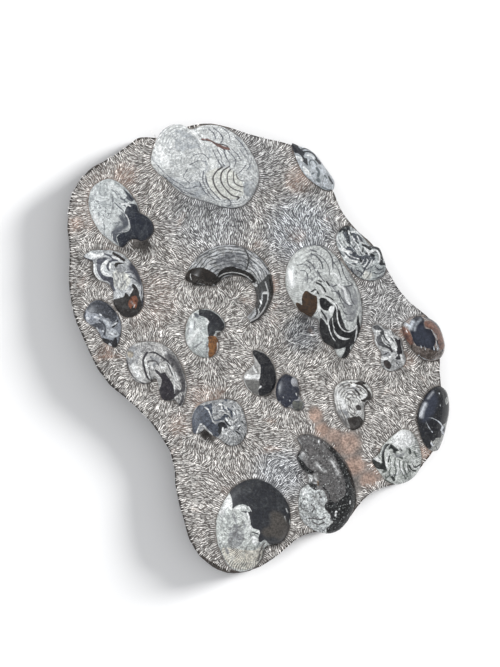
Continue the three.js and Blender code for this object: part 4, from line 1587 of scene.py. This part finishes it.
MARKINGS["ammonite_bottom_large"] = """
light 214,219,216 grey 168,173,172 slate 82,78,74 dark 41,43,49 chalk 222,218,206 squiggles 0.9
veins 0.3 mottle 95 ribs 0.3 rings 0.25 speckle 0.45 flecks 0.05""", """
glow
2 221,512 227,503
-1 243,512 247,522 250,532
-2 220,536 226,544
gloom
-1 228,544 235,533 242,522
-2 238,564 250,562
region 271,512 277,511 283,515 288,523 287,534 280,539 274,536 268,536 262,532 264,528 270,524
chalk
region 222,548 232,547 244,549 255,549 262,545 262,554 256,565 244,570 232,567 224,557
milk
region 228,495.5 230.5,495.5 232,500 232.4,506 229,508 226.5,504 225,500
2.6 234,509 240,506 245,506.5
2 247.5,512 249,517 249.5,524 252,528.5
region 252,535.5 255,535.5 257.5,538.5 258,542 255,543.5 252.4,541.5
0.9 248.3,505.5 250,508 251.5,510.5
1.2 286,508 288,512.5
1 284.5,516 286,521
2 258,530 259,532
ash
region 231,528 236,524 243,528 244,538 238,546 232,548 228,540
3 226,548 228,552
3 233,513 236,520
2.6 243,520 245,526
1.4 250.5,537 252,534 255.5,534 258.5,537.5 259.3,542 257,545
slate
1.2 215.5,533 218,546 224,560
1.4 260,552 262,546 265,542
2 258,560 260,554
rays 86 0.3 254,538 220,547 232,544 246,545 258,545 264,543 264,556 256,567 242,571 228,569 221,556
dark
region 229.3,491 231,487 236,483 243,479.5 250,477.5 258,478.5 266,481 273,486 280,491 286,497
290,503 292,510 291,516 289,522 290,530 288,536 284,540 277,545 270,544 265,539 260,541.5 258.5,537
259.5,532 259,529 254,527.5 251,524 250.5,519 248,515 245.5,510.7 250,510.5 248,506 246,504
241,503.6 236,505 232.6,507.4 232.2,502 231.7,497
1.4 252,531 255,532 258,533
1.3 242,510.5 246,511"""
print(len(MARKINGS), "shells drawn so far")

# %% [markdown]
# ## Black shells
# Six shells are mostly black stone with a skin of polish, and show what is pale as the exception: a chip of
# calcite, a fringe, a thin line round a whorl. On the longest shell the pale part is easier to draw than the
# dark one, so there everything outside it is dark.

# %% Drawings of the black shells
# the milk line from 399,320 to 409,326 is partly a white crystal edge, partly a painted highlight
MARKINGS["ammonite_right_dome"] = """
light 172,162,156 grey 122,112,106 ash 70,60,54 slate 50,55,68 dark 20,25,40 rust 132,98,84
milk 232,240,248 flecks 0.1 gloss 0.08 squiggles 0.3""", """
milk
2.6 399,320 404,323 409,326
0.7 431.3,330 433.5,333.5 435.8,338
0.6 436,341 436.4,345 436.8,350
0.5 420,345 421,348
0.5 424,346 425,350
0.6 433,346 434,350
0.7 438,345 438,350
0.9 417.5,356.5 419,355
0.5 420,356.5 426,359.5 433,360 439,357.5
glow
2.4 410,328 412.5,322
-0.5 414,330 416,324 420,320
-2 402,322 406,328
gloom
region 413,334 418,327 424,326 425,331 430,336 431,346 420,344 414,340
ash
region 411,345 418,345 426,345 436,348 442,351 441,357 433,360 425,360 417,355 411,349
dark
region 409,324 412,319 416,316.5 421,316.5 424,319.5 423.5,324 424,328 428,329 431,330 433,334
434.7,337 435.3,342 434,347 435,351 430,349 423,347 417,346 413,341 411,335 409,329
1.2 424,317 430,319.5 436,324 441,331
1.8 442.8,346 442.6,351
1.4 437,341 439,348
rust
region 424,322 428,320.5 432,321.5 436,325 440,330 443.5,336 445,341 444.5,347 441,350 439,347
437.6,341 436,335 432,330 428,328 424.5,326
region 400,327 404,327 408,330 410,334 412,339 413,344 410,345 406,340 401,334"""
# the milk line from 421.8,414 to 424.4,405.5 is a painted highlight
MARKINGS["ammonite_right_black"] = """
light 196,197,192 grey 160,161,156 slate 54,59,72 dark 24,26,32 milk 236,241,248 gloss 0.1
flecks 0.12""", """
glow
1.6 421,416 422,410 425,404
-1 428,398 433,392
gloom
region 420,413 424,401 432,392 437,397 436,408 430,418 423,422
milk
1 427,417 432,418 437,420.5 440,423 442.5,426.5
0.5 425,420 427.5,425.5 432,432
0.8 432.5,401 433,402
0.9 440,405 440.4,406
1 439,393 439.5,394
2.2 421.8,414 422.6,409.5 424.4,405.5
1.6 431,443 433,446
2.2 443,427 441.5,430
2 442.5,432 444,434
slate
region 444,426 446,430 445,435 442,434
0.9 436,446 438,451
dark
region 422,398 426,392 431,388 436,384 441,385 445,390 448,396 445.5,399 446.5,405 449.5,402 452,405
451,412 448,418 447,422 443.7,424.5 442,426 441.4,428 441.5,433 441,437.5 436,438 433,441.5 431,440
430.5,442 431.8,446 430,449 427,448 424,447 420,442 417,435 415.5,424 416.5,412"""
MARKINGS["ammonite_small_black"] = """
light 196,196,194 grey 158,158,158 slate 112,112,110 dark 24,26,32 gloss 0.1""", """
milk
region 244,376 248,373.5 252,375 257,374 260,375 258.5,379 253,378.5 249,379.5 245,378.5
1.2 253,366 256,372
1.6 260,387 261,386
1.4 244.5,382 247,388 251,392
slate
region 246,380 252,379.5 258,381 260.5,385 258,389 258,394 253,392.5 248,389 245.5,384
1.6 256,367.5 258,371
dark
region 253,351 256,350 259,351.5 262,352.5 265,354 269,358 272,363 275,370 276,377 275,386 272,391
267,394.5 262,396 259,395 258.3,390 261,387 259.7,384 259,380 260.2,376 260.5,371 260.5,366 258,362
255.5,358 253,354"""
MARKINGS["ammonite_small_blue"] = """
light 186,188,194 grey 150,150,150 slate 74,76,88 dark 42,46,59 rust 118,120,112 gloss 0.3
flecks 0.15""", """
milk
0.8 283,396.5 283.5,397.5
0.5 289.4,400 289.8,401
0.9 295.8,393 296.5,395
1 299.5,394.5 300,398
dark
region 287,373 290,375.5 292.7,377 291,380 291,383 293,386 297,386.5 299.3,390 298.7,396 297,399.3
294,400 292,403.5 289,405.5 286,408.5 282,407 280.5,403 280,400.5 278,402.5 275.5,400 275.5,393
276.5,385 279,379 283,375
rust
region 293,401 297,400.5 301,401 303,405 301,409.5 298,411 293.5,408.5 292,404.5"""
# the milk lines from 317,464 to 334,467 are painted highlight streaks
MARKINGS["ammonite_bottom_long"] = """
light 216,221,220 grey 174,179,181 slate 96,94,94 dark 6,7,9 rust 124,104,82 squiggles 1 curl 70
ribs 0.25 rings 0.3 speckle 0.65 gloss 0.24 mottle 120 flecks 0.75""", """
milk
region 305.5,475.5 310,474 312.5,477 311,481.5 306.5,482
0.9 317,464 319,466.5
0.8 320,467 322,470
0.6 332,463 334,467
2 336,511 335,515
1.6 318.5,440 318.6,442
1.6 350,501 350,503
0.7 311,458 313,458
1.6 332,521 329,524
1.2 301,488 304,491 303,495
1 301,514 306,520 309,526
1 304,500 308,503 306,508
1 314,495 318,499
glow
0.7 316,463 321,468 325,470
0.6 330,459 334,465 338,473
0.8 314,475 316,479
1 302,489 306,494
gloom
0.8 313,496 318,500 322,506
0.6 304,509 310,514 318,518
ash
1.6 324,448 327,453 331,456
2.4 334,474 337,478 341,484
2 327,478 332,485 338,488
slate
outside 296,486 303,483.5 308,484 311,487 315,489.5 319,489 323,490 325,494 327,499 325,503 324,507
327,511 330,515 330,519 333,521 330,525 326,528 327,532 331,536 320,538 308,533 300,524 295,512
294,498
1.6 309,518 314,518 320,519 325,517
1.5 313,522 318,524 324,522
1.6 311,504 314,507 312,511
1.6 319,493 321,497
1.4 300,505 303,509
dark
region 330,499 335,502 342,497 345,493 345,484 344,478 341,471 338,464 334,456 328,448 332,447
340,457 347,467 352,477 355,488 357,500 356,512 350,522 343,530 335,535 329,536 326.3,530.5 328,526
333,521.5 331,518 330,513 326,509 324,505 327,502
region 294,457 297,449 301,455 304,462 307,466 311,469 315,471.5 309,473 302,471 296,466
region 309,483 312,482 316,486 316,489 311,487.5
1.5 323,484 324,488 328,492 329,497
rust
2 317,480 318,484"""
# the dark arch region from 214,284 to 256,281 is painted shade on the tube's inner wall, under the arch
MARKINGS["ammonite_open_whorl"] = """
light 192,195,198 grey 146,147,146 slate 64,65,66 dark 16,14,13 rust 42,36,32 squiggles 0.15
veins 0.2 gloss 0.22 ribs 0 rings 1 hoops 9 lean 0.5 speckle 0.45 ash 96,98,102""", """
milk
1.3 265,282 267,288 268,293 267.5,300 265,307 262,312 257,318
2.6 264,293 267.5,293
1.3 260,300.5 261.5,304
3 253.5,284.5 256,285.5
0.7 191.5,273 190.5,276 191.5,280
1.6 207,269 210,266
0.9 219,277 224,274 231,272.6 239,273.4 246,276 252,281
0.9 187,272 190,267 196,262
0.9 258,309 259,313 255,319
1.4 250,321.5 258,317
0.9 252,258 258,263 263,269
0.9 255,258 262,265 266,271
0.9 252,264 258,269 261,275
0.9 250,268 255,273 258,278
ash
region 216,259 226,254 238,253 245,258 246,270 238,268 228,266 220,268
1 194,262 202,256 212,253
0.8 196,264 205,259 215,256
0.8 193,258 200,253 208,250
2.4 250,262 254,268
slate
region 259,283.5 264,279 270,274 273,283 275,292 273,303 269,312 262,319 256,323 249,325 252,320
256,314 255,305 254,296 252,289 252,283
1.8 245,250 248,256 248.6,262 246.5,269.5
1.2 190,262 196,254 204,250
dark
2 269.8,280 272,292 270.5,303 266,312
region 214,284 217,277 220,271.5 225,268.5 231,266.8 238,268.5 245,271 252,275 256,281 253,284
248,279 240,276.5 231,275 223,277 218,285
rust
region 184,283 183.5,277 187,272 191,269.5 197,268 203,268 208,270 212,272 216,275 217,279 214,284
210,286.5 203,284 196,283 188,283"""
print(len(MARKINGS), "shells drawn so far")

# %% [markdown]
# ## The domes
# A shell's skin runs in rings from its eye to its rim, rising like a cushion, with a pit at the eye. Below
# the rim it turns under and goes into the stone. The cells are about a millimetre, because the markings are
# stored on them.

# %% Skin of a dome
CELL_SIZE = 1.0 * MM
SECTORS, STEPS = (96, 320), (24, 64)  # fewest and most cells round a shell, and from its eye to its rim
CROWN = 0.97  # share of the solid's rise that the skin keeps
FLAT_TOP, ROUND_SHOULDER = 2.3, 0.62
PIT, PIT_REACH = 1.2 * MM, 3.5 * MM
DENT, DENT_SIZE = 0.35 * MM, 22 * MM
FOOT = 8 * MM  # how deep the skin goes into the stone
BURIED = [(0.8 * MM, 1.0), (2.2 * MM, 0.992), (4.5 * MM, 0.97), (FOOT, 0.9)]  # depth below the rim, scale


def dome_skin(title, shell):
    """A dome's closed skin, with how far each point is from the eye and whether it lies in the stone."""
    eye, rise = shell["eye"], CROWN * shell["rise"]
    sectors = int(np.clip(way_round(shell["rim"]) / CELL_SIZE, *SECTORS))
    steps = int(np.clip(np.hypot(*(shell["rim"] - eye).T).mean() / CELL_SIZE, *STEPS))
    rim = anticlockwise(closed_curve(shell["rim"], sectors))
    rings, share = [], []
    for f in np.linspace(0, 1, steps + 1)[1:]:
        xy = eye + (rim - eye) * f
        z = rim_height(shell, xy) + rise * (1 - f**FLAT_TOP) ** ROUND_SHOULDER
        z -= PIT * np.exp(-((np.hypot(*(xy - eye).T) / PIT_REACH) ** 2))
        z += DENT * knock(xy, 0, DENT_SIZE, 1) * (1 - f**4)
        rings.append(np.c_[xy, z])
        share.append(np.full(sectors, f))
    level, middle = rim_height(shell, rim), rim.mean(0)
    for down, scale in BURIED:
        rings.append(np.c_[middle + (rim - middle) * scale, level - down])
        share.append(np.full(sectors, 1 + down / FOOT))
    top = [*eye, shell["plane"][2] + rise - PIT]
    piece, points = skin(title, rings, top, [*middle, float(level.mean()) - FOOT])
    share = np.concatenate([[0], *share, [2]])
    write(piece.data, "from_eye", share)
    write(piece.data, "buried", smooth_step(1.06, 1.3, share))
    return piece, points


# %% [markdown]
# ## The shells' finish
# The group mixes a mottled marble, lays the drawings over it in turn, and puts thin veins through all of
# it. Each drawing's depth is nudged by fine noise before it is cut to a crisp edge, so no border looks ruled.
# Two of them, the painted shade with sheen and the painted highlights, are cut softly over several
# millimetres.

# %% A shell's own numbers
SHELL_LOOK = {
    **palette("""
    light 206,209,210 grey 166,168,170 chalk 217,218,211 ash 138,140,143 slate 72,74,80 dark 22,22,26
    rust 108,64,38 milk 238,240,240 mottle 70 veins 0.4 squiggles 0.75 curl 40 ribs 0.7 spokes 70
    rings 0.7 hoops 15 lean 0 speckle 0.36 flecks 0.12"""),
    "waver": 1.6 * MM,  # how far a drawing's edge wanders
    "eye": (0.0, 0.0, 0.0),
}

KINDS = {3: "Vector", 4: "Color"}
marble, given, made = node_tree(
    "shell_marks", "ShaderNodeTree",
    [(title.capitalize(), "Float" if isinstance(value, float) else KINDS[len(value)], value)
     for title, value in SHELL_LOOK.items()],
    [("Color", "Color"), ("Polish", "Float")],
)
print(f"{len(SHELL_LOOK)} colours and numbers make a shell's finish")

# %% Mottled marble and its fine lines
FOLDS, FOLD_PATCH_SIZE, BROKEN_LINE_SIZE = 9.0, 48, 130
SWAY, SWAY_SIZE, CHOICE_SIZE = 14.0, 55, 26
BEND, BEND_TURNS = 7.0, 7.0  # how far a rib bends forward and back on its way to the rim, and how often

place = marble.place()
cloud = marble.grain(place, given["Mottle"], detail=6, distortion=1.6, roughness=0.6)
base = marble.blend(marble.spread(cloud, 0.44, 0.66), given["Light"], given["Grey"])
pencil = marble.blend(0.4, given["Ash"], given["Slate"])
fold = marble.grain(place, given["Curl"], detail=2, distortion=1.4)
fold = marble.maths("PINGPONG", marble.times(fold, FOLDS), 0.5)
fold_here = marble.spread(marble.grain(place, FOLD_PATCH_SIZE, detail=2), 0.4, 0.56)
fold = marble.times(marble.spread(fold, 0.2, 0.03), fold_here, given["Squiggles"])
base = marble.blend(fold, base, pencil)
broken = marble.grain(place, BROKEN_LINE_SIZE, detail=4, distortion=0.8, roughness=0.6)
from_eye, buried = marble.attribute("from_eye"), marble.attribute("buried")
offset = marble.add("ShaderNodeVectorMath", {0: place, 1: given["Eye"]}, operation="SUBTRACT").outputs[0]
offset = marble.add("ShaderNodeSeparateXYZ", {0: offset}).outputs
angle = marble.maths("ARCTAN2", offset["Y"], offset["X"])
sway = marble.times(marble.grain(place, SWAY_SIZE), SWAY)
bend = marble.times_plus(marble.maths("SINE", marble.times(from_eye, BEND_TURNS)), BEND, sway)
spoke = marble.maths("COSINE", marble.times_plus(angle, given["Spokes"], bend))
hoop = marble.maths("COSINE", marble.plus(marble.times(from_eye, given["Hoops"], 2 * math.pi), sway))
choice = marble.plus(marble.grain(place, CHOICE_SIZE, detail=2), given["Lean"])
hoops_here = marble.spread(choice, 0.46, 0.54)
spokes_here = marble.minus(1.0, hoops_here)
off_eye = marble.spread(from_eye, 0.08, 0.25)
for wave, strength, here in ((spoke, given["Ribs"], spokes_here), (hoop, given["Rings"], hoops_here)):
    fine_line = marble.spread(marble.times_plus(broken, 2.2, wave), 1.4, 1.9)
    base = marble.blend(marble.times(fine_line, strength, here, off_eye), base, pencil)

# %% Laying the drawings over it
NUDGE_SIZE, SMOKE_SIZE, SPECK_SIZE, VEIN_SIZE, SPECKLE_SIZE = 210, 95, 430, 42, 340
CRISP, SOFT = 0.35 * MM, 4 * MM
SMOKE, VEIN_WIDTH = 0.13, 0.012
WORN = {"chalk": 0.5, "ash": 0.35, "milk": 0.5}  # what is left of a layer where it is worn thinnest
STONE_COLOUR = paint(120, 110, 102)  # where a shell goes into the stone

nudge = marble.grain(place, NUDGE_SIZE, detail=4, distortion=0.3, roughness=0.6)
nudge = marble.times(marble.minus(nudge, 0.5), given["Waver"])
for layer in LAYERS:
    depth = marble.plus(marble.attribute(layer), nudge)
    # painted shade, sheen and highlights fade softly; the other layers have crisp edges
    soft = SOFT if layer in ("gloom", "glow") else CRISP
    mask = marble.spread(depth, -soft, soft)
    if layer in WORN:
        mask = marble.times(mask, marble.spread(broken, 0.36, 0.6, WORN[layer], 1.0))
    # painted shade and sheen take the slate colour, painted highlights the milk colour
    colour = given[{"gloom": "Slate", "glow": "Milk"}.get(layer, layer.capitalize())]
    if layer in ("slate", "dark"):
        smoke = marble.grain(place, SMOKE_SIZE, detail=6, distortion=1.0, roughness=0.65)
        colour = marble.blend(marble.spread(smoke, 0.42, 0.75, 0.0, SMOKE), colour, given["Grey"])
        specks = marble.grain(place, SPECK_SIZE, distortion=0.4, roughness=0.6)
        specks = marble.times(marble.spread(specks, 0.58, 0.7), given["Flecks"])
        colour = marble.blend(specks, colour, given["Light"])
    if layer == "rust":
        colour = marble.blend(marble.spread(broken, 0.4, 0.62, 0.0, 0.6), colour, given["Dark"])
    base = marble.blend(mask, base, colour)
vein = marble.grain(place, VEIN_SIZE, detail=5, distortion=2.2, roughness=0.55)
vein = marble.maths("ABSOLUTE", marble.minus(vein, 0.5))
vein = marble.times(marble.spread(vein, VEIN_WIDTH, 0.0), given["Veins"])
base = marble.blend(vein, base, given["Slate"])
darkest, brightest = marble.minus(1.0, given["Speckle"]), marble.times_plus(given["Speckle"], 0.6, 1.0)
speckle = marble.grain(place, SPECKLE_SIZE, detail=4, distortion=0.6, roughness=0.6)
speckle = marble.spread(speckle, 0.32, 0.68, darkest, brightest)
base = marble.blend(buried, marble.shaded(base, speckle), STONE_COLOUR)
marble.fill(made["Color"], base)
marble.fill(made["Polish"], marble.spread(marble.plus(buried, from_eye), 0.9, 1.15))
print(f"{len(marble.tree.nodes)} nodes in the shells' marks")

# %% One finish for each shell
GLOSS = {"pale_shell": 0.42, "banded_shell": 0.36, "black_shell": 0.16}  # roughness of the polish
SMEAR_SIZE, RIPPLE_SIZE, RIPPLE = 55, 70, 0.35 * MM
DULL_FOOT = 0.45  # roughness added where the polish ends, at the stone
CALCITE, SHEEN = 1.5, 0.4  # how strongly the polish bends light, and how much of its mirror light is kept


def shell_finish(name, changes, gloss):
    """A polish over the shell's own marks; gloss is its roughness, a little smeared."""
    material, bench, shader, place = new_material(name)
    look = {title.capitalize(): value for title, value in {**SHELL_LOOK, **changes}.items()}
    marks = bench.group(marble.tree, look)
    rough = bench.spread(bench.grain(place, SMEAR_SIZE), 0.3, 0.75, gloss * 0.7, gloss * 1.7)
    bench.fill(shader["Base Color"], marks["Color"])
    bench.fill(shader["Roughness"], bench.times_plus(marks["Polish"], DULL_FOOT, rough))
    bench.fill(shader["IOR"], CALCITE)
    bench.fill(shader["Specular IOR Level"], SHEEN)
    bench.fill(shader["Normal"], bench.bump(bench.grain(place, RIPPLE_SIZE, detail=2), RIPPLE, 0.5))
    return material


# %% [markdown]
# ## Dressing the shells
# Every shell gets its skin, its drawings written on the skin's points and a finish mixed from its own
# palette. The solids say which shells are pale, banded or black, and the pieces keep to that.

# %% Dressing the domes
SLOTS = {
    "pale_shell": ["top_large", "lower_right_pale", "top_right", "lower_left"],
    "black_shell": ["right_dome", "right_black", "small_black", "small_blue", "bottom_long", "open_whorl"],
}


def dress(piece, points, node):
    """Marks, finish and place in the object for one shell."""
    slot = next((slot for slot, names in SLOTS.items() if node[len("ammonite_"):] in names), "banded_shell")
    colours, marks = MARKINGS[node]
    drawn = drawings(marks)
    for layer in LAYERS:
        write(piece.data, layer, inside(points[:, :2], drawn.get(layer, [])))
    changes = palette(colours)
    gloss = changes.pop("gloss", GLOSS[slot])
    if node in shells:
        changes["eye"] = (*shells[node]["eye"], 0)
    piece.data.materials.append(shell_finish(piece.name + "_finish", changes, gloss))
    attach(piece, "root")
    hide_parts(node)


for node, shell in shells.items():
    piece, points = dome_skin(node.replace("ammonite", "shell"), shell)
    dress(piece, points, node)
print(f"{len(shells)} domes dressed")

# %% [markdown]
# ## The open whorl
# One shell lost its middle, and only the last half turn of its tube is left, lying like a horseshoe round a
# hollow. Its cross section is swept along the same two circles as the solid. The section sinks at the left
# end, where the tube is broken off at a slant and shows its dark filling.

# %% Sweeping the open whorl
WHORL_SECTION = "0,43 0.12,53 0.3,60 0.58,62 0.85,55 1,45 0.93,33 0.1,33"  # share across, height in mm
WHORL_FOOT, WHORL_THINNING = 33, 0.2
WHORL_SUNK, WHORL_TAIL = 0.45, 0.25  # height left at the broken end, height lost at the other
WHORL_RINGS, WHORL_STEPS = 220, 64

section = closed_curve(rows_of(WHORL_SECTION), WHORL_STEPS)
section[:, 0] = np.clip(section[:, 0], 0, 1)
rings = []
for share in np.linspace(0, 1, WHORL_RINGS):
    angle = WHORL_START + (WHORL_END - WHORL_START) * share
    inner, outer = whorl_edges(angle)
    reach = (inner + (outer - inner) * section[:, 0]) * PLAN_STEP
    tall = (1 - WHORL_THINNING * share) * (WHORL_SUNK + (1 - WHORL_SUNK) * smooth_step(-0.01, 0.055, share))
    tall *= 1 - WHORL_TAIL * smooth_step(0.93, 1, share)
    height = (WHORL_FOOT + (section[:, 1] - WHORL_FOOT) * tall) * MM
    rings.append(np.c_[on_plan(WHORL_MIDDLE) + reach[:, None] * (math.cos(angle), math.sin(angle)), height])
piece, points = skin("shell_open_whorl", rings, rings[0].mean(0), rings[-1].mean(0))
write(piece.data, "from_eye", np.r_[np.tile(section[:, 0], WHORL_RINGS), 0.5, 0.5])
write(piece.data, "buried", smooth_step(42 * MM, 34 * MM, points[:, 2]))
dress(piece, points, WHORL)
print(f"open whorl of {len(piece.data.polygons)} faces")

# %% [markdown]
# ## Floor, camera and light
# A white floor and a high camera that looks straight down. The floor is a plain studio board, a shade off
# white so that the soft shadow reads on it. The camera stands far off, so that tall shells hardly lean.

# %% Floor and camera
VIEW_HEIGHT = 4.0
VIEW_PLANE = 38 * MM  # the height that is seen at the plan's own scale
VIEW_CENTRE, VIEW_ROWS = (250, 333.5), 667  # in plan units
SENSOR = 36
FLOOR_CLOUD_SIZE = 3

bpy.ops.mesh.primitive_plane_add(size=12, location=(0, 0, 0))
floor = bpy.context.object
floor.name = "floor"
material, bench, shader, place = new_material("white_floor")
clouds = bench.spread(bench.grain(place, FLOOR_CLOUD_SIZE), 0.3, 0.7)
bench.fill(shader["Base Color"], bench.blend(clouds, paint(250, 250, 250), paint(252, 252, 252)))
bench.fill(shader["Roughness"], 0.9)
floor.data.materials.append(material)

camera_data = bpy.data.cameras.new("camera")
camera_data.sensor_fit = "VERTICAL"
camera_data.sensor_height = SENSOR
camera_data.lens = SENSOR * (VIEW_HEIGHT - VIEW_PLANE) / (VIEW_ROWS * PLAN_STEP)
camera = bpy.data.objects.new("camera", camera_data)
camera.location = (*on_plan(VIEW_CENTRE), VIEW_HEIGHT)
bpy.context.scene.collection.objects.link(camera)
bpy.context.scene.camera = camera
print(f"lens of {camera_data.lens:.0f} mm")

# %% [markdown]
# ## Lights
# Three lamps do one thing each. A low sun at the right lies on the floor alone and throws the long shadow. A
# higher one at the upper left models the shells, and light linking keeps it off the floor. The panel is for
# the polish: only mirror light sees it.

# %% Lights


def light(name, kind, where, aim=(0, 0, 0.03), **settings):
    """A lamp that looks at the plate."""
    data = bpy.data.lights.new(name, kind)
    for key, value in settings.items():
        setattr(data, key, value)
    lamp = bpy.data.objects.new(name, data)
    lamp.location = where
    lamp.rotation_euler = (Vector(aim) - Vector(where)).to_track_quat("-Z", "Y").to_euler()
    bpy.context.scene.collection.objects.link(lamp)
    return lamp


def only_on(lamp, name, pieces):
    """The lamp shines on these pieces alone, though everything may still stand in its way."""
    chosen = bpy.data.collections.new(name)
    for piece in pieces:
        chosen.objects.link(piece)
    lamp.light_linking.receiver_collection = chosen


shown = [o for o in bpy.context.scene.objects if o.type == "MESH" and o != floor]
shadow_sun = light("shadow_sun", "SUN", (2.5, 1.1, 1.03), energy=5.4, angle=math.radians(20))
only_on(shadow_sun, "floor_only", [floor])
key = light("key", "SUN", (-1.2, 1.3, 2.6), energy=1.7, angle=math.radians(25), color=(1, 0.99, 0.975))
key.visible_glossy = False
only_on(key, "object_only", shown)
panel = light("sky_panel", "AREA", (-2.1, 0.5, 1.35), energy=55, shape="ELLIPSE", size=1.3, size_y=1.1,
              color=(0.93, 0.97, 1))
panel.visible_diffuse = False
world = bpy.data.worlds.new("studio")
world.use_nodes = True
sky = world.node_tree.nodes["Background"].inputs
sky["Color"].default_value, sky["Strength"].default_value = (0.97, 0.98, 1.0, 1), 0.62
bpy.context.scene.world = world
bpy.context.scene.view_settings.view_transform = "Standard"
print(f"{len(shown)} pieces in the key light")
